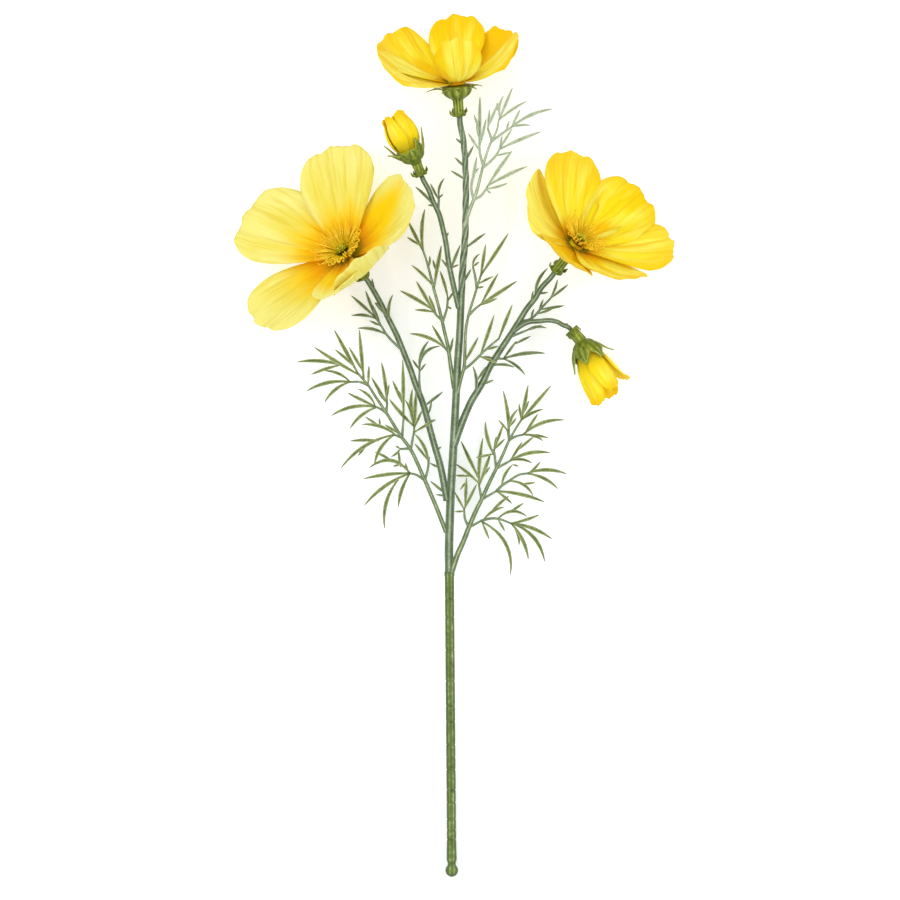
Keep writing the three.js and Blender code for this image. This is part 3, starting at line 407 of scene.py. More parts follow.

# %% [markdown]
# ## Seven plastics
# Everything else is moulded plastic with a soft gloss. A rod or a leaf is painted darker towards its
# outline, a painted shade where its faces turn away, and Layer Weight finds those. The lower stem has
# a clear coat.

# %% The plastics, from the lower stem to the pistils
def plastic(
    name, base, pale, dark, contrast, size, specular,
    relief=0.5, stalk=None, rim=0.0, dullness=0.36, coat=0.0,
):
    material, tree, shader = principled(
        name, specular_ior_level=specular, coat_weight=coat, coat_roughness=0.12
    )
    base, pale, dark, stalk = (colour(*part) for part in (base, pale, dark, stalk or base))
    made = shader_node(tree, "ShaderNodeGroup", {
        "Colour": base, "Pale": pale, "Dark": dark, "Stalk": stalk, "Contrast": contrast, "Size": size,
        "Dullness": dullness,
    }, node_tree=moulded_plastic)
    times, _, _ = sums(tree)
    # Painted shade: towards the outline the colour turns to the dark one, by the share rim
    facing = shader_node(tree, "ShaderNodeLayerWeight", {"Blend": 0.5}).outputs["Facing"]
    edge = times(ramped(tree, facing, 0.08, 0.5), rim)
    tree.links.new(blended(tree, edge, made.outputs["Colour"], dark), shader.inputs["Base Color"])
    tree.links.new(made.outputs["Roughness"], shader.inputs["Roughness"])
    with_relief(tree, shader, made.outputs["Height"], relief, 0.0003)
    return material


stem_green = plastic(
    "ringed_stem_green", (90, 113, 40), (164, 184, 120), (44, 60, 18), contrast=1.0, size=0.6, specular=0.3,
    relief=0.1, rim=0.6, dullness=0.2, coat=0.15,
)
branch_green = plastic(
    "fluted_branch_green", (124, 138, 86), (172, 188, 160), (58, 78, 44), contrast=0.85, size=1.0,
    specular=0.4, stalk=(112, 130, 98), rim=0.5, dullness=0.3,
)
leaf_green = plastic(
    "frond_green", (136, 149, 88), (190, 201, 152), (78, 94, 42), contrast=0.9, size=1.2, specular=0.35,
    stalk=(116, 134, 98), rim=0.3,
)
faded_green = plastic(
    "faded_frond_green", (182, 194, 166), (220, 228, 212), (134, 150, 112), contrast=0.9, size=1.2,
    specular=0.35, stalk=(166, 180, 152), rim=0.25,
)
calyx_green = plastic(
    "calyx_green", (126, 140, 34), (178, 188, 88), (66, 86, 10), contrast=0.85, size=0.8, specular=0.3,
    rim=0.4,
)
filament_gold = plastic(
    "filament_gold", (228, 188, 6), (255, 220, 52), (98, 100, 4), contrast=1.0, size=1.0, specular=0.2,
)
pistil_olive = plastic(
    "pistil_olive", (150, 144, 6), (226, 214, 40), (52, 52, 2), contrast=1.0, size=1.6, specular=0.25,
    relief=0.8,
)
print("all finishes:", len(bpy.data.materials))

# %% [markdown]
# ## The petals of the open blooms
# Each bloom has six cloth petals, stamped, dyed and pressed into shape over a form. A petal starts
# here as a flat grid, the uncut cloth. Its points are then moved by a few plain rules: narrow claw,
# blunt notched tip, long belly, rolled edges, pleats, and a ruffle that grows towards the tip. The
# Solidify modifier gives the cloth its thickness. A grid keeps its own square map, which the dye
# follows. Bands across a petal add painted light that the rules can't give: painted shade, drawn as
# gold dye that runs further up, and a painted highlight.

# %% Measures of the blooms, as in the imported frame
# Each petal: plan direction, plan reach, rise of the tip, width, belly, outward curl, roll, cup
BLOOMS = {
    "left": dict(
        centre=(-66.5, 393.5, 28.24), lean=46, towards=130, neck=23.5, filament=18, cloth=pale_cloth,
        slot="pale_petals", seed=3,
        petals=[(97, 71, -14, 52, 3, 3, 2, 0.1), (158, 72, -19.7, 59, 3, 3, 2, 0.1),
                (218, 71, 18, 57, 3, 3, 2, 0.1), (250, 26, 50, 34, 4, 3, 2, 0.1),
                (312, 8.5, 50, 46, 13.5, 0, 0, 0.06), (45, 58, 26, 49, 6, 0, 2, 0.1)],
    ),
    "right": dict(
        centre=(79.5, 399.5, 29.06), lean=61, towards=52, neck=23.5, filament=16, cloth=golden_cloth,
        slot="golden_petals", seed=8,
        petals=[(91, 60, -6, 56, 5, 1, 2, 0.1), (39, 56.5, -27.5, 46, 5, 1, 2, 0.1),
                (1, 63, -6, 46, 5, 1, 2, 0.1), (330, 42, 37, 44, 7, 2, 2, 0.1),
                (226, 10, 55, 42, 8, 2, 0, 0.1), (127, 47.5, 28, 52, 8, 2, -6, 0.06)],
    ),
    "top": dict(
        centre=(3.5, 502, 38), lean=78, towards=95, neck=21.5, filament=13, cloth=golden_cloth,
        slot="golden_petals", seed=15,
        petals=[(90, 45.5, -27, 36.5, 6, 0, 0, 0.1), (145, 55, -13, 43, 7, 0, -7, 0.1),
                (162, 51, 19, 38, 8, 2, -8, 0.1), (90, 24, 43, 30.5, 9, 0, 0, 0.1),
                (36, 47.5, 19, 34, 8, 1, 7, 0.1), (47, 48, -15, 36, 7, 0, 5, 0.1)],
    ),
}
# Bands of (strength, middle, width) across a petal, by bloom and petal: painted shade, drawn as the
# gold dye running further up, and painted highlights, where the cloth is painted pale
SHADE_BANDS = {
    ("left", 5): [(0.42, 0.4, 0.36)], ("left", 3): [(0.3, 0, 2)],
    ("right", 1): [(0.3, -0.2, 0.7)], ("right", 4): [(0.8, 0, 2)],
    ("top", 0): [(0.3, 0, 2)], ("top", 1): [(0.3, -0.3, 0.5)], ("top", 3): [(0.6, -1, 0.4)],
    ("top", 5): [(0.8, 0, 2)],
}
GLOWS = {
    ("top", 3): [(0.8, -0.2, 0.25), (0.95, 0.45, 0.2)], ("top", 2): [(0.7, -0.2, 0.7)],
    ("top", 4): [(0.5, 0.2, 0.7)], ("top", 1): [(0.2, 0.2, 0.5)],
    ("right", 5): [(1, 0, 2)], ("right", 2): [(0.35, 0.2, 0.7)], ("right", 0): [(0.2, 0, 0.6)],
}
CLAW_WIDTH, CLAW_RADIUS, CLAW_LIFT = 0.22, 2, 0.4
SHOULDER, NOTCH = 0.7, 0.012  # where the round end starts, and how deep its notches are
CALM_REACH = 24  # petals that reach out less than this stand up, with shallower folds
CURL_START, CURL_SPAN = 0.55, 0.45  # the outward curl takes up this last share of a petal
CLOTH_THICKNESS = 0.5
PETAL_GRID = (44, 30)
print("petals to cut:", sum(len(bloom["petals"]) for bloom in BLOOMS.values()))


# %% The outline, the folds and the bands of a petal
def petal_spread(share):
    """Width of a petal along its length, as a share of its full width."""
    return CLAW_WIDTH + (1 - CLAW_WIDTH) * math.sin(share * math.pi / 2) ** 1.35


def petal_edge(across, share, ripple):
    """How far each lengthwise line reaches: a round end over the shoulders, with shallow notches."""
    rounding = SHOULDER + (1 - SHOULDER) * math.sqrt(max(0.0, 1 - abs(across) ** 2.6))
    notch = NOTCH * (1 - math.cos(3 * math.pi * across + 2.2 * (ripple - 0.5)))
    notch += 0.004 * math.sin(17 * across + 9 * ripple) + 0.003 * math.sin(31 * across + 5 * ripple)
    return rounding - notch * share**4 * (1 - across**4)


def petal_relief(across, share, ripple):
    """Folds and pleats along the petal, and a ruffle that grows towards its tip."""
    middle = math.sin(math.pi * share)
    folds = 0.55 * math.cos(8.5 * across + 6 * ripple) + 0.3 * math.cos(14 * across + 11 * ripple)
    pleats = 0.13 * math.cos(27 * across + 3 * ripple) + 0.08 * math.cos(41 * across + 7 * ripple)
    ruffle = 0.8 * math.sin(4.2 * across + 7 * ripple) + 0.55 * math.sin(9.5 * across + 4 * ripple)
    return (folds + pleats) * middle + ruffle * share**4


def banded(bands, across):
    """The strength of a set of bands at one place across a petal."""
    return sum(strength * math.exp(-(((across - place) / width) ** 2)) for strength, place, width in bands)


# %% Laying and shaping one petal
def bloom_petal(name, centre, axis, measures, ripple, shade_bands, glows):
    """Lays a flat petal from its claw to its tip and shapes it; ripple makes each one different."""
    direction, reach, rise, width, belly, curl, roll, cupping = measures
    turn = math.radians(direction)
    tip = Vector((reach * math.cos(turn), reach * math.sin(turn), rise))
    outward = (tip - axis * tip.dot(axis)).normalized()
    root = outward * CLAW_RADIUS + axis * CLAW_LIFT
    chord = tip - root
    sideways = axis.cross(chord).normalized()
    inward = chord.normalized().cross(sideways)
    petal = flat_grid(name, *PETAL_GRID)
    # The petal keeps its bands of painted shade and of painted highlight across it
    toned(petal, lambda corner: banded(shade_bands, corner.co.x), "painted_shade")
    toned(petal, lambda corner: banded(glows, corner.co.x), "glow")
    for corner in petal.data.vertices:
        across, share = corner.co.x, (corner.co.y + 1) / 2
        length = share * petal_edge(across, share, ripple)
        lift = -4 * belly * length * (1 - length) - curl * max(0.0, (length - CURL_START) / CURL_SPAN) ** 2
        lift += cupping * width * across**2 * math.sin(math.pi * share * 0.75)
        lift += petal_relief(across, share, ripple) * min(1.0, reach / CALM_REACH) + roll * across * share
        half = across * width * petal_spread(share) / 2
        corner.co = centre + root + chord * length + sideways * half + inward * lift
        corner.co.z = max(corner.co.z, CLOTH_THICKNESS)
    modified(petal, "SOLIDIFY", thickness=CLOTH_THICKNESS, offset=0.0)
    toned(petal, lambda corner: float(corner.normal.dot(inward) > 0), "inner")
    return toned(petal, ripple)


# %% [markdown]
# ## Turned pieces
# The pad under the petals, the calyx and the lower stem are all round about their own axis. By hand,
# such a piece starts as a circle that is extruded and widened again and again, like a pot on a
# wheel. It is turned upright first and then leaned along its axis.

# %% Turning a profile out of a circle
def upright_to(axis):
    """The turn that leans an upright form along an axis."""
    return Vector((0, 0, 1)).rotation_difference(axis).to_matrix().to_4x4()


def turned(name, profile, origin, axis, sides):
    """Extrudes a filled circle through (radius, height) steps and leans it along its axis."""
    radius, height = profile[0]
    bpy.ops.mesh.primitive_circle_add(
        vertices=sides, radius=radius, location=(0, 0, height), fill_type="NGON"
    )
    piece = bpy.context.object
    piece.name = name
    bpy.ops.object.transform_apply(location=True)
    edit_all()
    for next_radius, next_height in profile[1:]:
        grow = next_radius / radius
        bpy.ops.mesh.extrude_region_move(TRANSFORM_OT_translate={"value": (0, 0, next_height - height)})
        bpy.ops.transform.resize(value=(grow, grow, 1), center_override=(0, 0, next_height))
        radius, height = next_radius, next_height
    bpy.ops.mesh.select_all(action="SELECT")
    bpy.ops.mesh.normals_make_consistent(inside=False)
    bpy.ops.object.mode_set(mode="OBJECT")
    piece.data.transform(Matrix.Translation(origin) @ upright_to(axis))
    return piece


# %% Six petals on a pad for each bloom
PAD_PROFILE = [(3.0, -1.3), (5.8, -1.2), (6.0, 0.2), (4.4, 1.6), (3.6, 2.0), (1.0, 2.0)]
for side, bloom in BLOOMS.items():
    axis = leaning(bloom["lean"], bloom["towards"])
    centre = Vector(bloom["centre"])
    bloom.update(axis=axis, middle=centre, mouth=centre - axis * bloom["neck"])
    ripples = scatter(bloom["seed"])
    petals = [
        bloom_petal(
            f"{side}_petal_{i}", centre, axis, measures, next(ripples),
            SHADE_BANDS.get((side, i), []), GLOWS.get((side, i), []),
        )
        for i, measures in enumerate(bloom["petals"])
    ]
    parts = [*petals, turned("pad", PAD_PROFILE, centre, axis, sides=24)]
    finished(f"{side}_bloom_petals_cloth", parts, bloom["cloth"], bloom["slot"], f"{side}_bloom_petals")

# %% [markdown]
# ## One blade for all narrow leaves
# Leaflets, sepals and the flaps of the collars are all narrow blades with a shallow groove. A blade
# is modelled on a small grid. A leaflet is pinched at its root, and a sepal is broad there and ends
# in a thin tip. Each leaf is then a copy of that mesh, laid along its own bent line.

# %% Two blades, flat and straight: a leaflet and a sepal
BLADE_LENGTH, BLADE_WIDTH, BLADE_THICKNESS = 20.0, 2.6, 0.5
BLADE_GRID = (6, 12)
LEAFLET_STATIONS = [
    (0.0, 0.42), (0.12, 0.5), (0.3, 0.8), (0.5, 1.0), (0.68, 0.9), (0.84, 0.6), (0.95, 0.28), (1.0, 0.08),
]
SEPAL_STATIONS = [
    (0.0, 0.5), (0.15, 0.84), (0.35, 1.0), (0.52, 0.86), (0.66, 0.52), (0.78, 0.3), (0.9, 0.2), (1.0, 0.1),
]


def station_width(stations, share):
    """The width at one place along a blade, as a share of its full width."""
    for (low, thin), (high, wide) in zip(stations, stations[1:]):
        if share <= high:
            return mix(thin, wide, (share - low) / (high - low))
    return stations[-1][1]


def flat_blade(name, stations, groove, stripes):
    """A blade with a shallow groove, and with its tone in stripes from the middle to the edge."""
    form = flat_grid(name, *BLADE_GRID)
    for corner in form.data.vertices:
        across, share = corner.co.x, (corner.co.y + 1) / 2
        breadth = station_width(stations, share)
        corner.co = (across * breadth * BLADE_WIDTH / 2, share * BLADE_LENGTH, groove * across**2 * breadth)
    modified(form, "SOLIDIFY", thickness=BLADE_THICKNESS, offset=0.0)

    def stripe(corner):
        share = min(max(corner.co.y / BLADE_LENGTH, 0), 1)
        half = station_width(stations, share) * BLADE_WIDTH / 2
        return stripes[round(3 * min(1.0, abs(corner.co.x) / half))]

    return toned(form, stripe)


leaflet_form = flat_blade("leaflet_form", LEAFLET_STATIONS, 0.42, (0.0, 0.15, 0.5, 1.0))
sepal_form = flat_blade("sepal_form", SEPAL_STATIONS, 0.6, (0.9, -0.1, 0.6, 1.0))
print("one blade has", len(leaflet_form.data.polygons), "faces")


# %% [markdown]
# ## Bending a blade
# A leaf is rarely straight. A few guide points give a smooth bent line, and every corner of the flat
# blade is carried to the same share of that line's length. Its groove is turned to face one way.

# %% Laying a blade along a bent line
NUDGE = 0.02  # a small step along a line, to find its direction


def bent_line(points):
    """A smooth line through its first and last guide point, as a function from 0 to 1."""
    order = len(points) - 1

    def place(share):
        total = Vector((0, 0, 0))
        for index, point in enumerate(points):
            weight = math.comb(order, index) * (1 - share) ** (order - index) * share**index
            total += point * weight
        return total

    return place


def blade(form, line, upwards, width, thickness=1.0):
    """A copy of a flat blade along a line, with its groove towards a direction."""
    piece = new_piece("blade", form.data.copy())
    sections = {}
    for corner in piece.data.vertices:
        flat = corner.co.copy()
        share = min(max(flat.y / BLADE_LENGTH, 0.0), 1.0)
        key = round(share, 4)
        if key not in sections:
            ahead = (line(min(share + NUDGE, 1.0)) - line(max(share - NUDGE, 0.0))).normalized()
            across = ahead.cross(upwards).normalized()
            sections[key] = (line(share), across, across.cross(ahead))
        middle, across, over = sections[key]
        corner.co = middle + across * (flat.x * width / BLADE_WIDTH) + over * (flat.z * thickness)
    return piece


# %% [markdown]
# ## Stems, ribs and filaments
# A moulded branch is a rod of even section drawn along a bent line. By hand that is a path with a
# section as its bevel object: the section has shallow flutes, and the path tapers from root to tip.

# %% A smooth line through given places
STEP = 1.5  # between two places along a rib


def smooth_line(points):
    """Places along a line that passes smoothly through the given points."""
    points = [Vector(point) for point in points]
    around_them = [points[0] * 2 - points[1], *points, points[-1] * 2 - points[-2]]
    made = []
    for a, b, c, d in zip(around_them, around_them[1:], around_them[2:], around_them[3:]):
        before, here, after = ((q - p).length ** 0.5 for p, q in ((a, b), (b, c), (c, d)))
        start = ((b - a) / before - (c - a) / (before + here) + (c - b) / here) * here
        end = ((c - b) / here - (d - b) / (here + after) + (d - c) / after) * here
        pieces = max(2, round((c - b).length / STEP))
        for index in range(pieces):
            t = index / pieces
            bend = (c - b) * 3 - start * 2 - end
            twist = (b - c) * 2 + start + end
            made.append(b + start * t + bend * t**2 + twist * t**3)
    return made + [points[-1]]


# %% Two sections, fluted and round
FLUTE_DEPTH = 0.18
FLUTES = 5


def section(name, corners, depth):
    """The outline of a rod of radius 1: a circle that is drawn in between its ridges."""
    bpy.ops.mesh.primitive_circle_add(vertices=corners, radius=1)
    outline = bpy.context.object
    outline.name = name
    for index, corner in enumerate(outline.data.vertices):
        corner.co *= 1 - depth * (0.5 - 0.5 * math.cos(2 * math.pi * FLUTES * index / corners))
    bpy.ops.object.convert(target="CURVE")
    return bpy.context.object


fluted_section = section("fluted_section", 20, FLUTE_DEPTH)
round_section = section("round_section", 6, 0.0)
print("sections:", fluted_section.name, "and", round_section.name)


# %% Drawing a section along lines
UNTWISTED = (1.0, 0.0)


def rods(name, lines, outline, twist=UNTWISTED):
    """One mesh of rods: each line is its points and the radius at its root and tip. A rod can be
    twisted from a share of its length on, by so many radians for each step."""
    curve = bpy.data.curves.new(name, "CURVE")
    curve.dimensions = "3D"
    curve.bevel_mode = "OBJECT"
    curve.bevel_object = outline
    curve.use_fill_caps = True
    stations, radii = kdtree.KDTree(sum(len(points) for points, _, _ in lines)), []
    for points, root, tip in lines:
        spline, last = curve.splines.new("POLY"), len(points) - 1
        spline.points.add(last)
        for index, (made, place) in enumerate(zip(spline.points, points)):
            radius = mix(root, tip, index / last)
            made.co, made.radius = (*place, 1), radius
            made.tilt = max(0.0, index - twist[0] * last) * twist[1]
            stations.insert(place, len(radii))
            radii.append(radius)
    stations.balance()
    alone(new_piece(name, curve))
    bpy.ops.object.convert(target="MESH")
    piece = bpy.context.object

    def ridge(corner):
        """1 on a ridge and 0 in a flute, from the corner's distance to the middle of the rod: a painted
        highlight on ridges, painted shade in flutes.
        """
        _, index, away = stations.find(corner.co)
        return 1 - (1 - away / radii[index]) / FLUTE_DEPTH

    toned(piece, ridge if outline is fluted_section else 0.55)
    toned(piece, 1.0, "stalk")
    edit_all()
    bpy.ops.mesh.remove_doubles(threshold=0.001)
    bpy.ops.mesh.normals_make_consistent(inside=False)
    bpy.ops.object.mode_set(mode="OBJECT")
    return piece


# %% [markdown]
# ## Stamens and pistils
# In the middle of a bloom stands a thick ring of fine golden filaments, green at their feet, each
# hooked inwards at its tip and ending in a small anther. The filaments are thin rods in three rings.
# The anther is modelled once, a small ball drawn long, and copied to each tip.

# %% A ring of filaments with anthers
FILAMENTS = 84
FILAMENT_LENGTHS = (1.05, 0.75, 0.9)  # of the three rings, as shares of the bloom's own length
FEET_PROFILE = [(3.0, 2.3), (4.4, 2.35), (4.3, 3.0), (3.0, 3.2)]
ANTHER_SIZE = 0.8
GOLDEN_FROM = 13  # distance from the middle of the bloom at which a filament has lost its green
bpy.ops.mesh.primitive_ico_sphere_add(subdivisions=1, radius=1)
anther_form = bpy.context.object
anther_form.name = "anther_form"
edit_all()
bpy.ops.transform.resize(value=(0.55, 0.55, 1.15))
bpy.ops.object.mode_set(mode="OBJECT")


def anther(place, axis):
    """A copy of the small ball, leaned along the tip of its filament."""
    piece = new_piece("anther", anther_form.data.copy())
    piece.data.transform(Matrix.Translation(place) @ upright_to(axis) @ Matrix.Scale(ANTHER_SIZE, 4))
    return toned(piece, 1.0)


for number, (side, bloom) in enumerate(BLOOMS.items()):
    chance = scatter(101 + number)
    middle, axis = bloom["middle"], bloom["axis"]
    lines, anthers = [], []
    for index in range(FILAMENTS):
        place = placer(middle, axis, 360 * (index + 0.6 * next(chance)) / FILAMENTS)
        length = bloom["filament"] * FILAMENT_LENGTHS[index % 3] * (0.82 + 0.26 * next(chance))
        height = length * (0.38 + 0.3 * next(chance))
        out = 0.75 * length * (0.9 + 0.15 * next(chance))
        hook = 1.2 + 1.8 * next(chance)
        guides = [
            place(3.2, 2.4), place(3.4 + 0.35 * out, 2.6 + 0.8 * height),
            place(4.4 + out, 2.8 + 0.8 * height), place(4.2 + out - 0.5 * hook, 2.8 + height + 0.4 * hook),
        ]
        line = bent_line(guides)
        lines.append(([line(step / 8) for step in range(9)], 0.4, 0.3))
        anthers.append(anther(line(1.0), (guides[3] - guides[2]).normalized()))
    filaments = rods("filaments", lines, round_section)
    toned(filaments, lambda corner: min(1.2, ((corner.co - middle).length / GOLDEN_FROM) ** 1.5) - 0.15)
    pad = toned(turned("stamen_pad", FEET_PROFILE, middle, axis, sides=20), -0.4)
    parts = [filaments, pad, *anthers]
    finished(f"{side}_bloom_stamens_fine", parts, filament_gold, "stamens", f"{side}_bloom_stamens")

# %% [markdown]
# ## The pistils
# The knob in the middle is a low dark dome with a tuft of curved yellow-green styles that lean
# different ways. The dome is a turned piece, and each style is a short rod drawn along a bent line.

# %% A dark dome with a tuft of styles
STYLES = 26
SEED_TURN = 137.5  # degrees from one style to the next, as seeds sit in a flower
DARK_BELOW, PALE_OVER = 5.2, 2.2  # height at which a style is dark, and the rise over which it pales
DOME_PROFILE = [(2.7, 3.5), (3.0, 4.2), (2.6, 5.0), (1.9, 5.6), (1.0, 6.0), (0.3, 6.1)]
for number, (side, bloom) in enumerate(BLOOMS.items()):
    chance = scatter(131 + number)
    middle, axis = bloom["middle"], bloom["axis"]
    dome = toned(turned("dome", DOME_PROFILE, middle, axis, sides=20), -0.5)
    lines = []
    for index in range(STYLES):
        share = (index + 0.5) / STYLES
        place = placer(middle, axis, SEED_TURN * index)
        root, height = 2.4 * math.sqrt(share), 7.9 - 1.4 * share + 0.8 * next(chance)
        lean = 0.5 + 1.1 * next(chance)
        line = bent_line([place(root, 4.2), place(root + 0.1, height), place(root + lean, height - 0.4)])
        lines.append(([line(step / 5) for step in range(6)], 0.42, 0.36))
    tuft = rods("tuft", lines, round_section)
    toned(tuft, lambda corner: ((corner.co - middle).dot(axis) - DARK_BELOW) / PALE_OVER)
    finished(f"{side}_bloom_pistils", [dome, tuft], pistil_olive, "flower_centre", f"{side}_bloom_centre")

# %% [markdown]
# ## The calyx under each bloom
# A calyx is one olive green moulding: a collar with a flared mouth and four little flaps, a tube
# with ribs, a cup, and narrow sepals round its rim. The tube and cup are turned, the ribs are pulled
# out of the turned wall, and the flaps and sepals are blades.

# %% Ribs on a turned wall, and the flaps of a collar
FLAP_TURNS = (20, 130, 215, 300)
FLAP_SPREAD = 7


def ribbed(piece, origin, axis, ribs, depth, low, high, paleness=1.0):
    """Pulls lengthwise ribs out of a turned wall between two heights, and keeps them as its tone: a
    painted highlight on each rib and painted shade between them.
    """
    side_on = around(axis, 0)
    third = axis.cross(side_on)
    tones = []
    for corner in piece.data.vertices:
        offset = corner.co - origin
        height = offset.dot(axis)
        outward = offset - axis * height
        rib = math.cos(ribs * math.atan2(outward.dot(third), outward.dot(side_on)))
        within = low < height < high and outward.length > 2.5
        if within:
            corner.co += outward.normalized() * depth * rib
        tones.append(paleness * (0.5 + 0.5 * rib) if within else 0.3)
    return toned(piece, tones)


def collar_flaps(mouth, axis, spread=FLAP_SPREAD):
    """Four little flaps that spread from the mouth of a collar and bend up beside its tube."""
    flaps = []
    for turn in FLAP_TURNS:
        place = placer(mouth, axis, turn)
        line = bent_line([place(3, 1), place(spread, 0.6), place(spread - 0.6, 4.6)])
        flaps.append(blade(leaflet_form, line, axis, width=2.9, thickness=1.2))
    return flaps


# %% Collars, cups and sepals of the blooms
CALYX_PROFILE = [
    (1.4, 5.3), (1.4, 0.0), (4.0, 0.0), (4.5, 0.4), (4.6, 1.2), (4.0, 1.9), (3.4, 2.6), (3.25, 4.5),
    (3.2, 7.0), (3.2, 9.5), (3.3, 11.4), (4.2, 12.3), (6.2, 13.5), (8.0, 15.0), (9.2, 16.8), (9.7, 19.2),
    (9.9, 20.8), (9.3, 21.7), (7.0, 21.9), (1.0, 21.9),
]
SEPALS = 8
for number, (side, bloom) in enumerate(BLOOMS.items()):
    axis, mouth = bloom["axis"], bloom["mouth"]
    tall = (bloom["neck"] - 1.6) / CALYX_PROFILE[-1][1]
    profile = [(r, h if h < 2.5 or i < 2 else h * tall) for i, (r, h) in enumerate(CALYX_PROFILE)]
    cup = turned("cup", profile, mouth, axis, sides=60)
    ribbed(cup, mouth, axis, ribs=10, depth=0.24, low=2.3, high=21.5 * tall)
    chance = scatter(41 + number)
    sepals = []
    for index in range(SEPALS):
        place = placer(mouth, axis, 360 * (index + 0.3 * next(chance)) / SEPALS)
        tip = place(16.5 + 4 * next(chance), (18.5 + next(chance)) * tall)
        line = bent_line([place(7.5, 18.5 * tall), place(13, 21.4 * tall), tip])
        sepals.append(blade(sepal_form, line, axis, width=3.2))
    parts = [cup, *collar_flaps(mouth, axis), *sepals]
    finished(f"{side}_bloom_calyx_moulding", parts, calyx_green, "calyx", f"{side}_bloom_calyx")

# %% [markdown]
# ## The two buds
# A bud is the same cloth, wrapped. Five petals lie round a hollow, each with one edge under its
# neighbour, and their ragged tips stand a little open. The grid is wound round the axis here, and
# its radius follows the belly of the bud. The calyx has a bent neck, a cup and a ring of sepals.

# %% Measures of the buds
# Each petal: reach as a share of the length, and outward flare. Each sepal: turn, rise, reach, width.
BUDS = {
    "upright": dict(
        mouth=(-18.5, 443, 35), neck=(84, 112), body=(84, 117), girth=1, length=27,
        radii=(6.3, 9.4, 7), turn=35, seed=71,
        petals=[(1, 0), (0.95, 0), (0.92, 0), (0.94, 0), (0.98, 0)],
        sepals=[(84, 11.6, 13, 8), (34, 7.8, 10.6, 5), (0, 2.6, 9.6, 9), (-42, 3.2, 9.6, 9),
                (-68, 5.2, 15.5, 7), (-95, 11.5, 13.6, 7), (150, 8, 11, 8), (-145, 8, 11, 8)],
    ),
    "nodding": dict(
        mouth=(76.5, 346, 19), neck=(90, 312), body=(92, 297), girth=1.2, length=33.8,
        radii=(6.5, 11, 11.8), turn=45, seed=77,
        petals=[(1, 0), (0.94, 0), (1, 0), (0.83, 4.5), (0.84, 0)],
        sepals=[(80, 11, 13.5, 8.5), (18, 8, 10.6, 10), (-42, 8.5, 10.6, 10), (-88, 8, 16.2, 7),
                (-140, 8, 11, 9), (175, 8, 11, 8), (130, 7, 10.5, 8)],
    ),
}
NECK_BEND = 9.5
CUP_HEIGHT = 6.5
print("petals to wrap:", sum(len(bud["petals"]) for bud in BUDS.values()))

# %% Winding one petal round its bud
BUD_GRID = (22, 22)
HALF_ANGLE = 46  # degrees round the bud from the middle of a petal to its edge
EDGE_SHADE_BANDS = [(0.6, -1, 0.16), (0.6, 1, 0.16)]  # painted shade along both edges of a petal, where it meets its neighbours


def bud_radius(radii, share):
    """The radius of a bud along its length, from its base over its belly to its tip."""
    base, middle, tip = radii
    bulge = math.sin(math.pi * min(share / 0.9, 1))
    return mix(base, tip, share) + (middle - (base + tip) / 2) * bulge


def bud_petal(name, bud, origin, axis, index, ripple):
    """Winds a flat petal round the axis, a little further out along one of its edges."""
    petal = flat_grid(name, *BUD_GRID)
    reach, flare = bud["petals"][index]
    # Painted shade along both edges, kept with the petal's painted shade
    toned(petal, lambda corner: banded(EDGE_SHADE_BANDS, corner.co.x), "painted_shade")
    for corner in petal.data.vertices:
        across, share = corner.co.x, (corner.co.y + 1) / 2
        jag = 1 + share**5 * (0.012 * math.sin(7 * across + 6 * ripple) + 0.008 * math.sin(15 * across))
        height = 0.8 + bud["length"] * reach * share * (1 - 0.09 * abs(across) ** 3 * share) * jag
        half = HALF_ANGLE * (0.75 + 0.25 * math.sin(math.pi * share)) * (1 - 0.16 * share**3)
        radius = bud_radius(bud["radii"], share) + 1.1 * across * min(1, 4 * share)
        radius += flare * share**3 + 0.3 * math.cos(9 * across + 5 * ripple) * math.sin(math.pi * share)
        radius += 0.4 * share**4 * math.sin(5 * across + 8 * ripple)
        turn = bud["turn"] + 360 * index / len(bud["petals"]) + across * half
        corner.co = placer(origin, axis, turn)(radius, height)
    modified(petal, "SOLIDIFY", thickness=CLOTH_THICKNESS, offset=0.0)
    return toned(petal, ripple)


# %% Five wrapped petals for each bud
for side, bud in BUDS.items():
    axis, neck = leaning(*bud["body"]), leaning(*bud["neck"])
    mouth = Vector(bud["mouth"])
    base = mouth + neck * NECK_BEND
    bud.update(axis=axis, along=neck, opening=mouth, base=base)
    chance = scatter(bud["seed"])
    origin = base + axis * (CUP_HEIGHT + 0.3)
    petals = [
        bud_petal(f"{side}_petal_{i}", bud, origin, axis, i, next(chance))
        for i in range(len(bud["petals"]))
    ]
    foot = bud["radii"][0]
    profile = [(foot, 0.0), (foot + 1.1, 0.6), (foot + 1.3, 2.0), (3.0, 4.0), (0.5, 4.4)]
    parts = [*petals, turned("pad", profile, origin, axis, sides=24)]
    finished(f"{side}_bud_petals_cloth", parts, bud_cloth, "golden_petals", f"{side}_bud_petals")

# %% [markdown]
# ## The calyxes of the buds
# They are smaller mouldings of the same kind. The neck is a tube that leans with its stalk, and the cup
# leans with the bud, so the two meet at a slight bend. The sepals lie against the wrapped petals first
# and spread at their tips, each by its own measures.

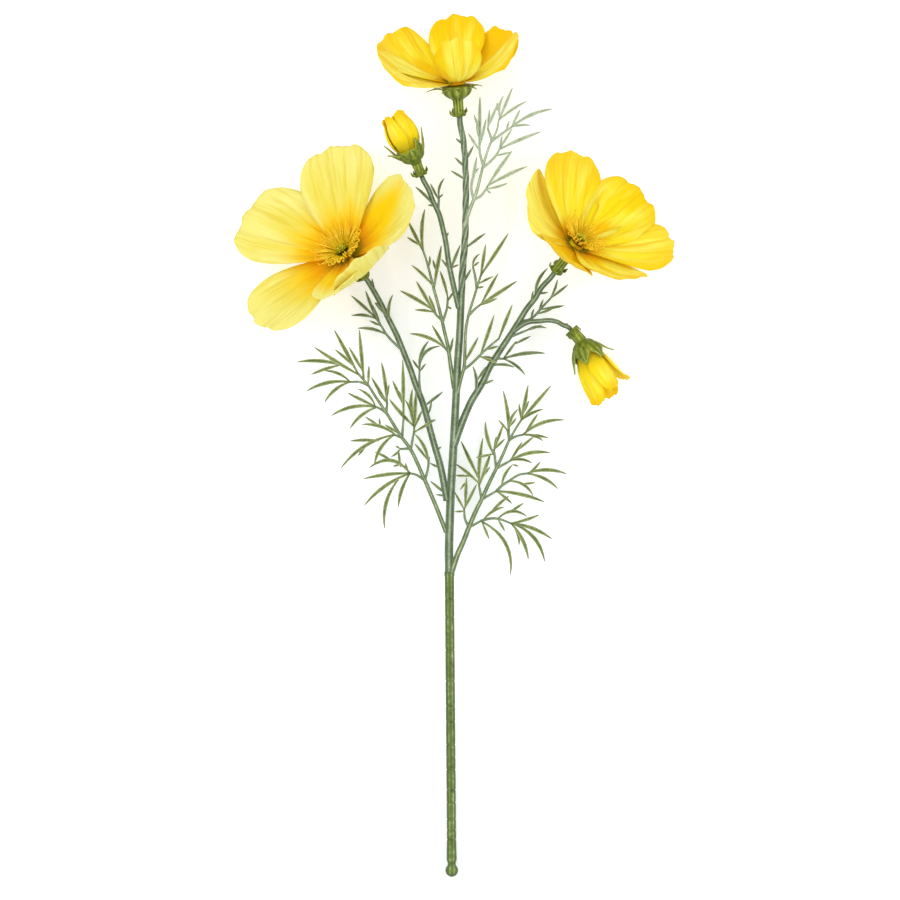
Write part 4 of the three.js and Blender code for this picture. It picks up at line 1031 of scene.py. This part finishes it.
# %% The bent neck, the cup and the sepals of a bud
NECK_PROFILE = [
    (1.4, 5.0), (1.4, 0.0), (3.8, 0.0), (4.1, 0.6), (4.1, 1.2), (3.5, 1.8), (3.2, 2.4), (3.0, 5.5),
    (3.1, 8.0), (3.3, 9.5), (2.6, 11.0), (1.0, 11.8),
]
CUP_PROFILE = [
    (2.0, -1.8), (3.2, -1.6), (3.8, 0.1), (5.4, 0.9), (6.8, 2.1), (7.6, 3.4), (8.0, 4.8), (8.1, 6.0),
    (7.9, 6.5), (1.0, 6.5),
]
for side, bud in BUDS.items():
    axis, base, mouth, neck, girth = (bud[part] for part in ("axis", "base", "opening", "along", "girth"))
    profile = [(r * girth if r > 2.5 else r, h) for r, h in NECK_PROFILE]
    tube = turned("tube", profile, mouth, neck, sides=32)
    ribbed(tube, mouth, neck, ribs=8, depth=0.15, low=2.5, high=9)
    cup = turned("cup", CUP_PROFILE, base, axis, sides=36)
    ribbed(cup, base, axis, ribs=9, depth=0.1, low=0.5, high=6.2, paleness=0.5)
    clear = bud_radius(bud["radii"], 0.25) + 2.2
    sepals = []
    for turn, rise, reach, width in bud["sepals"]:
        place = placer(base, axis, turn)
        line = bent_line([place(5.4, 2.2), place(clear, CUP_HEIGHT),
                          place(clear, CUP_HEIGHT + 0.6 * rise), place(reach, CUP_HEIGHT + rise)])
        sepals.append(blade(sepal_form, line, -around(axis, turn), width, thickness=1.5))
    parts = [tube, cup, *collar_flaps(mouth, neck, FLAP_SPREAD * (2 - girth)), *sepals]
    finished(f"{side}_bud_calyx_moulding", parts, calyx_green, "calyx", f"{side}_bud_calyx")

# %% [markdown]
# ## The plan of stems, ribs and leaflets
# The plan is a drawing seen from above, in millimetres from the ball at the foot. Every spray has its
# ribs as lines, the main one first, and its leaflets as root, tip and, where the leaflet bends, how far
# its middle bows to the left. A spray with few leaflets is a flower stem, and one with many is a
# feathery frond. The other numbers are its habit: the lift of the main rib over the slope at both ends
# and its radii there, the rise and the spread of the leaflets for each millimetre of length, and the
# seed of their scatter.

# %% Keeping a plan
PLANS = {}


def plan(name, ribs, leaves, **habit):
    PLANS[name] = dict(ribs=ribs, leaves=leaves, **habit)
    print(name, "has", len(ribs), "ribs and", len(leaves), "leaflets")


# %% Plan of the left low frond
plan("left_low_frond", lift=(0.5, 9), radii=(1.6, 0.8), rise=0.05, spread=0.3, seed=21, ribs=[
    [(-3, 217), (-9.5, 233.5), (-16.5, 250), (-25.5, 269.5), (-32, 278.5), (-41, 293), (-48, 303.5),
     (-52.5, 310.5), (-59, 318)],
    [(-16.5, 250), (-22, 253.5), (-26, 254.5)],
    [(-26, 270), (-32, 270)],
    [(-25.5, 269.5), (-24.5, 275), (-23.5, 280.5)],
    [(-31.5, 277), (-36, 279)],
    [(-41, 293), (-45, 295.5), (-48, 297)],
    [(-40.5, 293), (-40.5, 299)],
    [(-52.5, 310.5), (-58, 312.5), (-64, 312.5)],
    [(-16, 250), (-14.5, 258), (-14, 265)],
    [(-30, 278), (-30, 289.5)],
], leaves=[
    (-26, 254.5, -55.5, 251, -1), (-26, 254.5, -55, 234, -2.5), (-34.5, 252, -42, 219.5, -3.5),
    (-26, 253.5, -33.5, 233, -1.5), (-26, 256, -52, 258, -6.5), (-36.5, 263.5, -48.5, 268, -0.5),
    (-30.5, 260.5, -37, 259), (-31.5, 260.5, -33.5, 269.5), (-27, 256, -29, 261), (-31.5, 270, -35, 272),
    (-32, 269.5, -38, 265, 0.5), (-36, 279, -70, 257.5, -4), (-46, 277, -64, 275, -0.5),
    (-53, 271.5, -59, 265.5), (-34.5, 279, -56.5, 285.5, -2.5), (-43.5, 285.5, -54.5, 290.5),
    (-44, 285.5, -45.5, 289.5), (-33.5, 279.5, -42, 285.5), (-36, 278, -48.5, 260, -2.5),
    (-47.5, 296.5, -76, 291, -3), (-47.5, 295, -64, 283, -2), (-48, 297, -65.5, 305.5),
    (-48.5, 297.5, -59, 308, -2), (-40.5, 299, -44, 325, -0.5), (-40.5, 299, -50.5, 315.5),
    (-40.5, 301, -39, 311, 0.5), (-40.5, 299.5, -46.5, 306.5), (-63.5, 312.5, -91.5, 306.5, -2.5),
    (-63.5, 313, -80, 319.5, -2), (-63.5, 311.5, -80, 299.5, -2), (-59, 317.5, -74, 345.5),
    (-61, 322, -73.5, 333, -0.5), (-58, 317, -86.5, 334.5, 0.5), (-68, 321.5, -97.5, 325, -2),
    (-70.5, 322, -88.5, 317, -0.5), (-54.5, 315, -58, 345.5), (-52, 311, -52, 323),
    (-57, 319.5, -64.5, 334.5), (-23.5, 281, -22, 308), (-23, 283, -18, 295),
    (-25.5, 285, -24.5, 308, 1.5), (-25, 283, -29, 301, -1.5), (-23.5, 281, -10, 288.5),
    (-14.5, 261, -23, 279.5, -2), (-15.5, 263.5, -23, 273.5), (-26, 284, -39, 301.5, 0.5),
    (-30, 289.5, -30.5, 326.5), (-31.5, 297.5, -37, 313.5), (-31.5, 299.5, -32.5, 306.5),
])

# %% Plan of the right low frond
plan("right_low_frond", lift=(2, -7), radii=(2.1, 0.7), rise=-0.02, spread=0.25, seed=22, ribs=[
    [(0.2, 190.5), (2, 196), (4.4, 203), (7.8, 210.5), (11.5, 220), (16, 230.5), (20, 238.5),
     (24.5, 248.5), (29, 257.5), (33.5, 267), (37, 275), (41.5, 283), (45, 288.5)],
    [(11.5, 220), (15.5, 222), (19, 224)],
    [(19, 224), (24.5, 225.5), (30, 225.5), (38.5, 222.5)],
    [(20, 238), (24.5, 240.5), (29, 243)],
    [(29, 243), (32.5, 246.5), (37, 249.5), (43.5, 253.5), (49.5, 254.5)],
    [(29, 257.5), (33.5, 260), (38, 262.5)],
    [(38, 275), (41.5, 278), (46, 279)],
    [(11, 220), (9, 225.5), (8.5, 231.5)],
    [(19, 238.5), (18, 246.5)],
    [(29, 258), (28, 265.5), (27.5, 269.5)],
    [(36.5, 276), (36, 283)],
], leaves=[
    (19, 224, 38, 189.5, 7), (20, 223.5, 24.5, 212.5), (20.5, 225.5, 34, 233, 1.5),
    (23.5, 230, 37, 240, 0.5), (30, 224.5, 34.5, 217.5), (30.5, 226, 48.5, 227, 4),
    (36, 229, 46.5, 235.5), (38.5, 223.5, 56.5, 228, -0.5), (39, 222.5, 64.5, 212.5, 2),
    (39.5, 222, 60, 198, 4.5), (39, 222, 49.5, 199.5, 2), (39, 221.5, 43.5, 208.5, 1.5),
    (29, 243, 60, 236, 1.5), (29.5, 242.5, 39, 235, 0.5), (37, 249.5, 52.5, 240, 3),
    (48.5, 254.5, 74, 254, 2.5), (48.5, 254, 68.5, 244.5, 2), (49.5, 254.5, 57, 262, -0.5),
    (45.5, 248.5, 54, 248.5), (32, 247, 39.5, 260, 1.5), (38, 262.5, 63.5, 267.5, 2.5),
    (38.5, 262, 52, 261, 1.5), (38.5, 261, 43, 259), (38.5, 263, 45.5, 274.5), (41.5, 268, 53, 278),
    (46, 279, 72.5, 288.5, 3), (46.5, 279, 59, 275, 1.5), (47.5, 279, 62.5, 277, 0.5),
    (46.5, 280.5, 55.5, 292.5), (45, 288.5, 64, 310.5), (45, 288, 59, 295.5, 1), (45, 288.5, 49.5, 311),
    (45, 288.5, 43.5, 299), (46, 291, 50, 301), (36.5, 276.5, 33.5, 307, -1), (37, 280.5, 43, 295.5, 2),
    (38, 283.5, 42, 290), (36, 281.5, 30.5, 288.5), (27.5, 269, 33.5, 286), (27.5, 269.5, 29, 278),
    (28, 269, 34.5, 276.5), (27.5, 266, 22, 287.5, 1.5), (27, 266, 16, 264.5), (18.5, 251, 25.5, 267.5),
    (18.5, 246, 20.5, 277, 1), (19, 252, 25, 258.5), (17.5, 248.5, 3, 260.5, -0.5), (12, 251.5, 3, 253),
    (9, 232.5, 16.5, 247.5), (18, 251, 6.5, 275), (8.5, 231.5, 2.5, 242.5), (9, 233, 10, 252),
    (7.5, 230.5, 2.5, 230), (9, 249, 6, 244),
])

# %% Plan of the left middle frond
plan("left_mid_frond", lift=(-0.5, -5), radii=(1.5, 0.7), rise=-0.1, spread=0.25, seed=23, ribs=[
    [(2, 308.5), (0, 322), (-2, 336), (-4, 344.5), (-6, 353.5), (-8.5, 363.5), (-11, 372.5),
     (-13.5, 382.5), (-16, 391.5), (-18, 397)],
    [(-1.5, 331.5), (-4, 334.5)],
    [(-6, 352), (-9, 355), (-12, 359)],
    [(-4.5, 350.5), (-2.5, 359.5), (-2, 366.5)],
    [(-10, 372.5), (-9, 381)],
], leaves=[
    (-4, 334.5, -26, 343.5, -2), (-3, 333.5, -12, 349), (-12, 359, -32.5, 371, -0.5),
    (-11.5, 358, -22, 377), (-11.5, 356.5, -23, 358.5, -0.5), (-9.5, 355, -14, 368),
    (-2, 366, -7, 383.5, -0.5), (-2, 363, 2, 370.5), (-2, 361, 0.5, 359), (-11.5, 374, -25, 387, -0.5),
    (-9.5, 374, -6, 399.5), (-9, 382.5, -11.5, 390.5), (-14, 385.5, -13.5, 393, -0.5),
    (-17.5, 395.5, -27.5, 415.5), (-20.5, 398.5, -28, 405), (-17.5, 395.5, -16.5, 422.5, 1.5),
    (0, 329, 1.5, 341),
])

# %% Plan of the right middle frond
plan("right_mid_frond", lift=(1, 6), radii=(1.3, 0.7), rise=0.15, spread=0.25, seed=24, ribs=[
    [(4, 304.5), (6.5, 315), (8.5, 322.5), (9, 334), (9.5, 345.5), (11.5, 356), (14, 364), (16.5, 372),
     (19, 380)],
    [(8.5, 320), (14, 325), (20, 331), (25.5, 336), (30.5, 340)],
    [(11.5, 355), (15.5, 359), (18, 361)],
    [(16, 372.5), (15.5, 379), (14, 385.5)],
], leaves=[
    (19, 331, 27.5, 355), (30, 340, 39, 361.5), (22, 333, 30.5, 335.5), (9, 325, 17.5, 341),
    (18, 361, 42, 376.5), (18, 360.5, 29.5, 365.5), (18.5, 362, 30, 381.5), (19, 380, 36.5, 406.5),
    (19, 380, 22, 399.5), (18, 374.5, 27, 379.5), (17.5, 371, 21, 373), (14, 385.5, 18.5, 393.5, 1.5),
    (14, 385.5, 18, 388.5), (18, 329.5, 29.5, 324.5),
])

# %% Plan of the top right frond
plan("top_right_frond", lift=(1, 5), radii=(1.4, 0.6), rise=0.05, spread=0.3, seed=25, ribs=[
    [(8.5, 411), (11, 419), (13.5, 425.5), (16, 432), (18.5, 441.5), (20.5, 449.5), (23.5, 459.5),
     (26, 465.5), (29, 471.5), (30.5, 478.5)],
    [(16, 428), (19, 430.5), (23, 436)],
    [(21, 448.5), (25, 452), (29, 456.5), (31.5, 461)],
    [(26, 464.5), (30, 468), (34, 471), (38.5, 474)],
    [(14, 428), (13, 435), (13.5, 441.5)],
    [(20, 449.5), (18.5, 457.5), (18, 464)],
    [(25.5, 466), (23.5, 473)],
], leaves=[
    (23, 436, 39, 459, 0.5), (23.5, 437, 48.5, 449.5, 0.5), (23, 435, 36, 438.5, -0.5),
    (23, 434.5, 25.5, 432), (31.5, 460, 57, 470.5, 0.5), (31.5, 461.5, 39, 473), (30.5, 460, 32.5, 468.5),
    (29, 455.5, 38, 458), (38.5, 474, 64.5, 485, 2), (38.5, 473.5, 50.5, 475, 0.5), (38.5, 475, 44, 485),
    (34.5, 471.5, 37, 478), (31.5, 479.5, 39, 498.5), (31.5, 478.5, 48, 490, 0.5),
    (30, 479.5, 33.5, 493.5, 1.5), (30, 480.5, 29, 489), (13, 436.5, 16.5, 455.5),
    (13.5, 441.5, 18, 448.5, 0.5), (18, 459, 11, 470), (18.5, 461, 18.5, 494), (18.5, 471.5, 14.5, 482),
    (19, 462, 22.5, 479.5), (18, 465.5, 16, 475.5), (23.5, 473, 24.5, 485), (24.5, 474, 30, 489),
    (25, 475, 27.5, 481.5),
])

# %% Plan of the bud branch
plan("bud_branch", lift=(1, 6), radii=(1.9, 1.7), rise=0.2, spread=0.15, seed=14, ribs=[
    [(5, 359.5), (1.5, 374.5), (-1.5, 389), (-3, 400), (-5, 409.5), (-7.5, 419), (-11.5, 427.5),
     (-14, 434)],
    [(-7.5, 421), (-7.5, 429)],
    [(-9, 420.5), (-11.5, 425)],
], leaves=[
    (-7.5, 429, -4, 441.5, 1.5), (-7.5, 428, -13, 438), (-7, 429, -5, 431.5),
    (-11.5, 424.5, -22.5, 436, -0.5), (-12, 423.5, -14.5, 424.5), (-4, 402, -1.5, 407.5),
    (-0.5, 384, -6, 390.5), (0.5, 384, 6, 399.5), (1.5, 383.5, 5, 387),
])

# %% Plan of the left branch
plan("left_branch", lift=(0.5, -17), radii=(2.4, 1.8), rise=0.1, spread=0.2, seed=12, ribs=[
    [(-2.5, 237), (-4.5, 248.5), (-7, 260.5), (-9.5, 269), (-13, 281.5), (-16, 293), (-18.5, 301),
     (-22.5, 311), (-25.5, 320), (-30, 331.5), (-34.5, 342.5), (-38.5, 350.5), (-43, 359.5), (-47.5, 368)],
    [(-30.5, 332), (-36, 337.5), (-41, 343), (-45, 349.5), (-48, 354)],
    [(-18, 301), (-20, 311), (-20, 320.5)],
], leaves=[
    (-41.5, 343, -59.5, 347, -1.5), (-45, 349.5, -50, 362), (-48, 353.5, -63.5, 368),
    (-48, 353.5, -54.5, 371), (-48, 352, -63.5, 355, -1.5), (-46, 347.5, -52, 352),
    (-36.5, 352, -37, 368.5, 2), (-39, 353.5, -48.5, 363), (-43.5, 361.5, -48.5, 363.5),
    (-48, 370, -50.5, 379), (-20, 321.5, -14, 339, 2), (-19, 322.5, -7, 335.5, 4),
    (-20.5, 320.5, -24.5, 327), (-19, 319.5, -16, 324.5), (-15.5, 297.5, -5, 306.5),
    (-11.5, 300, -14, 292.5), (-13.5, 287.5, -9.5, 288.5), (-22.5, 311.5, -25.5, 314),
    (-9, 269, -6, 271.5), (-7.5, 257.5, -13.5, 261), (-4, 240, -9.5, 241), (-4, 241, -13, 249.5),
])

# %% Plan of the right branch
plan("right_branch", lift=(0.5, -14), radii=(2.6, 1.8), rise=0.1, spread=0.2, seed=13, ribs=[
    [(1.5, 271), (5, 281), (7.6, 288), (10.3, 294.5), (13.2, 300.8), (17.2, 307.2), (20.8, 313.5),
     (24.5, 321.5), (29, 329), (33.5, 336), (38.5, 343.5), (43.5, 351.5), (48.5, 359.5), (54, 366.5),
     (57.5, 372.5)],
    [(29, 326.5), (33.5, 327.5)],
    [(38, 340.5), (43, 343.5), (48, 345.5)],
    [(45.5, 350.5), (50, 352.5), (54.5, 356), (57, 359), (63.5, 366)],
], leaves=[
    (20.5, 311, 27.5, 314), (14, 304, 14, 322.5, -2), (16, 313.5, 22.5, 322.5),
    (33.5, 327.5, 60, 331, 1.5), (33.5, 327, 47.5, 317, 1.5), (27.5, 321.5, 40.5, 322, 1.5),
    (33.5, 328.5, 42, 339), (39.5, 337.5, 51, 342), (48, 345, 61, 347, 1.5), (48, 345.5, 58, 349),
    (28, 327.5, 20, 329), (51, 363, 52.5, 371), (55, 366.5, 62, 385.5, 2.5), (57, 368, 62, 370),
    (56.5, 358.5, 59, 365.5), (63.5, 366, 68, 378, -0.5), (63.5, 366, 75, 375), (57, 359, 72.5, 361.5),
    (54.5, 356, 64.5, 359), (51, 353.5, 53, 359.5),
])

# %% Plan of the centre stem
plan("centre_stem", lift=(0, 0), radii=(3.0, 2.0), rise=0.15, spread=0.15, seed=11, twist=(0.62, 0.16),
     ribs=[
    [(-0.9, 189.3), (-1.2, 205), (-0.7, 224), (0, 243), (1.2, 263), (2.2, 281.5), (3.2, 301), (4.2, 323),
     (5.6, 342.5), (6.4, 361), (7.5, 384), (9, 403), (9.5, 425.5), (9.5, 441.5), (8.5, 461), (6.5, 473.5)],
], leaves=[
    (7.5, 374, 13, 384.5), (9.5, 397, 22, 407), (9, 441, 0, 446.5), (8.5, 448, 2.5, 455),
    (7.5, 462.5, 3, 467), (10, 452.5, 14.5, 462.5),
])

# %% Plan of the stalk of the nodding bud
plan("nodding_bud_stalk", lift=(-9.5, -6.5), radii=(1.6, 1.6), rise=0, spread=0, seed=15, ribs=[
    [(39.5, 344.5), (44, 348), (50, 351), (56.5, 351.5), (62.5, 352), (68, 351), (71.5, 349)],
], leaves=[])

# %% [markdown]
# ## Growing a spray from its plan
# The main rib follows the slope of the stem. A side rib grows from the nearest point of what is there
# already and rises or sinks a little, and so does each leaflet. The long leaflets are laid first,
# then the short ones, which may sit on them.

# %% From plan to spray
SIDE_RADII = (1.05, 0.75)
SMALL_LEAFLET = 8.5
LOWEST_TIP = 1.2
SKY = Vector((0, 0, 1))


def spray(name, ending=()):
    """The rods and leaflets of one spray; a flower stem goes on through the points of its ending."""
    own = PLANS[name]
    chance, small_chance = scatter(own["seed"]), scatter(own["seed"] + 100)
    anchors = []

    def nearest(x, y):
        return min(anchors, key=lambda point: (point.x - x) ** 2 + (point.y - y) ** 2)

    def tip_of(root, x, y, draw):
        reach = math.hypot(x - root.x, y - root.y)
        climb = own["rise"] + own["spread"] * (2 * next(draw) - 1)
        return Vector((x, y, max(LOWEST_TIP, root.z + reach * climb)))

    def keep(points):
        for start, end in zip(points, points[1:]):
            steps = math.ceil((end - start).length / STEP)
            anchors.extend(start.lerp(end, step / steps) for step in range(steps + 1))

    main, *side_ribs = own["ribs"]
    last = len(main) - 1
    spine = [above(x, y, mix(*own["lift"], index / last)) for index, (x, y) in enumerate(main)]
    main_line = smooth_line([*spine, *ending])
    keep(main_line)
    lines = []
    for rib in side_ribs:
        points = [nearest(*rib[0])]
        for x, y in rib[1:]:
            points.append(tip_of(points[-1], x, y, chance))
        keep(points)
        lines.append((smooth_line(points) if len(points) > 2 else points, *SIDE_RADII))
    parts = [rods("main_rib", [(main_line, *own["radii"])], fluted_section, own.get("twist", UNTWISTED))]
    if lines:
        parts.append(rods("side_ribs", lines, round_section))
    leaves = own["leaves"]
    long_ones = [leaf for leaf in leaves if math.dist(leaf[:2], leaf[2:4]) >= SMALL_LEAFLET]
    for leaf in long_ones + [leaf for leaf in leaves if leaf not in long_ones]:
        draw = chance if leaf in long_ones else small_chance
        root = nearest(*leaf[:2])
        point = tip_of(root, *leaf[2:4], draw)
        length = (point - root).length
        left = Vector((root.y - point.y, point.x - root.x, 0)).normalized()
        bow = leaf[4] if len(leaf) > 4 else 0
        middle = root.lerp(point, 0.5) + left * 2 * bow + SKY * 0.1 * length
        line = bent_line([root, middle, point])
        turned_by = Matrix.Rotation(0.35 * (2 * next(draw) - 1), 3, (point - root).normalized())
        parts.append(blade(leaflet_form, line, turned_by @ SKY, min(2.5, 1.1 + 0.055 * length)))
        keep([line(0), line(0.5), line(1)])
    return parts


# %% [markdown]
# ## The feathery fronds
# Five fronds of soft plastic grow beside the stems, and the top right one is paler than the others.
# Their leaflets could be set by hand, but one rule for all of them keeps them alike.

# %% The five fronds
for name in ("left_low_frond", "right_low_frond", "left_mid_frond", "right_mid_frond", "top_right_frond"):
    green = faded_green if name == "top_right_frond" else leaf_green
    finished(name + "_feathers", spray(name), green, "leaves", name)

# %% [markdown]
# ## The stems of the blooms and buds
# The centre stem, three branches and the stalk of the nodding bud are sprays too. Each goes on past
# its plan to the mouth of its calyx and ends in a peg there. The centre stem has a second peg at its
# foot, for the socket of the lower stem.

# %% The centre stem, the branches and the stalk of the nodding bud
PEG_RADIUS, PEG_REACH = 1.1, 5.0
CARRIERS = {
    "centre_stem": (BLOOMS["top"]["mouth"], BLOOMS["top"]["axis"], 4),
    "left_branch": (BLOOMS["left"]["mouth"], BLOOMS["left"]["axis"], 4),
    "right_branch": (BLOOMS["right"]["mouth"], BLOOMS["right"]["axis"], 6),
    "bud_branch": (BUDS["upright"]["opening"], BUDS["upright"]["along"], 3),
    "nodding_bud_stalk": (BUDS["nodding"]["opening"], BUDS["nodding"]["along"], 2),
}
FOOT, FORK = above(0.6, 0), above(-0.9, 189)
stem_axis = (FORK - FOOT).normalized()


def peg(origin, axis):
    """The short round peg on the end of a stem, which plugs into a socket."""
    return turned("peg", [(PEG_RADIUS, -PEG_REACH), (PEG_RADIUS, PEG_REACH)], origin, axis, sides=12)


for name, (mouth, axis, reach) in CARRIERS.items():
    parts = spray(name, [mouth - axis * reach, mouth - axis * 0.3]) + [peg(mouth, axis)]
    if name == "centre_stem":
        parts.append(peg(FORK, -stem_axis))
    finished(name + "_fluted", parts, branch_green, "branches", name)

# %% [markdown]
# ## The lower stem
# The part that goes into a vase is a smooth rod with a ball on its cut end and a row of faint rings,
# the marks of the mould. It is turned like the calyx, ring by ring, with a thin collar and a socket at
# its top. Two painted highlights along its upper side stand for the gloss of its coating, and painted
# shade darkens its ring grooves; both are kept in its tone.

# %% A ringed rod with a ball foot
RING_DISTANCES = [20, 26, 33, 44, 52, 65, 73, 81, 96, 106, 122, 142, 163, 175]
ROD_RADIUS = 3.0
stem_length = (FORK - FOOT).length
profile = [
    (max(0.25, FOOT_RADIUS * math.cos(math.radians(a))), FOOT_RADIUS * math.sin(math.radians(a)))
    for a in (-88, -75, -60, -45, -30, -15, 0, 15, 30, 42, 50)
]
profile += [(2.6, 4.1), (2.5, 4.9), (3.1, 6.2), (3.25, 8), (3.15, 13)]
for distance in RING_DISTANCES:
    for offset, depth in ((-1.0, 0.0), (-0.5, 0.1), (-0.15, 0.26), (0.15, 0.26), (0.5, 0.1), (1.0, 0.0)):
        profile.append((ROD_RADIUS - depth, distance + offset))
profile += [
    (radius, stem_length + height)
    for radius, height in (
        (ROD_RADIUS, -0.4), (3.3, 0.4), (3.3, 2.4), (3.1, 2.6), (3.08, 0.2), (1.4, 0.2), (1.4, -5.3),
    )
]
rod = turned("lower_stem_rings", profile, FOOT, stem_axis, sides=48)
SHINES = [(0.34, -0.4, 0.14), (0.42, 0.48, 0.14)]  # two painted highlights along the upper side, standing for the gloss of the coat


# Painted highlights in two lines on the upper side, and painted shade in the ring grooves and other hollows
def rod_tone(corner):
    arm = (corner.co - FOOT) - stem_axis * (corner.co - FOOT).dot(stem_axis)
    shine = banded(SHINES, arm.x / ROD_RADIUS) if arm.z > 0 else 0.0
    return 0.42 + shine - 0.5 * max(0.0, ROD_RADIUS - arm.length)


finished("lower_stem_rings", [toned(rod, rod_tone)], stem_green, "lower_stem", "lower_stem")

# %% [markdown]
# ## Floor, light and camera
# The spray lies on a pale table under soft light from a large lamp at the upper left, a weaker one
# at the lower right and a narrow strip on each side. The table glows a little, so that it stays white.
# The camera looks straight down, as a catalogue photo of a lying stem is taken, with a long lens so
# that nothing is drawn out of shape.

# %% The table top
bpy.ops.mesh.primitive_plane_add(size=6)
table = bpy.context.object
table.name = "table_top"
bpy.ops.object.mode_set(mode="EDIT")
bpy.ops.mesh.subdivide(number_cuts=3)
bpy.ops.object.mode_set(mode="OBJECT")
paper, paper_tree, paper_shader = principled(
    "table_paper", roughness=0.9, specular_ior_level=0.2, emission_color=(0.86, 0.93, 1.0, 1),
    emission_strength=0.28,
)
paper_grain = noise(paper_tree, where(paper_tree), 900.0)
paper_tone = blended(paper_tree, paper_grain, (0.94, 0.94, 0.94, 1), (0.98, 0.98, 0.98, 1))
paper_tree.links.new(paper_tone, paper_shader.inputs["Base Color"])
table.data.materials.append(paper)
print("table:", [round(v, 2) for v in table.dimensions], "m")

# %% Soft light from above
def lamp(name, place, size, power, tint, shape="DISK", across=1.0):
    bpy.ops.object.light_add(type="AREA", location=place)
    made = bpy.context.object
    made.name = name
    made.data.shape = shape
    made.data.size, made.data.size_y = size, across
    made.data.energy = power
    made.data.color = tint
    made.rotation_euler = (-Vector(place)).to_track_quat("-Z", "Y").to_euler()
    return made


lamp("large_lamp", (-0.9, 0.8, 2.2), 2.2, 10, (1.0, 0.995, 0.99))
lamp("fill_lamp", (1.2, -0.8, 2.2), 2.4, 6, (0.985, 0.99, 1.0))
lamp("left_strip", (-1.35, 0.1, 1.5), 2.6, 7, (1.0, 1.0, 1.0), "RECTANGLE", 0.16)
lamp("right_strip", (1.6, 0.1, 1.2), 2.6, 7, (1.0, 1.0, 1.0), "RECTANGLE", 0.16)
world = bpy.data.worlds.new("studio")
bpy.context.scene.world = world
world.use_nodes = True
sky = world.node_tree
ray = shader_node(sky, "ShaderNodeTexCoord").outputs["Generated"]
height = shader_node(sky, "ShaderNodeSeparateXYZ", {0: ray}).outputs["Z"]
shell = blended(sky, ramped(sky, height, 0.0, 0.8), (0.5, 0.5, 0.5, 1), (1.0, 1.0, 1.0, 1))
sky.links.new(shell, sky.nodes["Background"].inputs["Color"])
sky.nodes["Background"].inputs["Strength"].default_value = 0.92
bpy.context.scene.view_settings.view_transform = "Standard"
print("lamps:", [light.name for light in bpy.data.lights])

# %% The camera, straight above
LENS, FILM = 180.0, 36.0
SEEN = 0.572  # width of the table in the picture, in metres
lens_height = SEEN * LENS / FILM
bpy.ops.object.camera_add(location=(-0.0027, -0.0024, 0.027 + lens_height), rotation=(0, 0, 0))
camera = bpy.context.object
camera.data.lens = LENS
camera.data.sensor_width = FILM
camera.data.clip_end = 20
bpy.context.scene.camera = camera
print("camera height:", round(camera.location.z, 3), "m")

# %% [markdown]
# ## Last look
# The forms that copies were taken from are not pieces of the spray, so they go.

# %% Remove the forms
for form in (leaflet_form, sepal_form, anther_form, fluted_section, round_section):
    bpy.data.objects.remove(form)
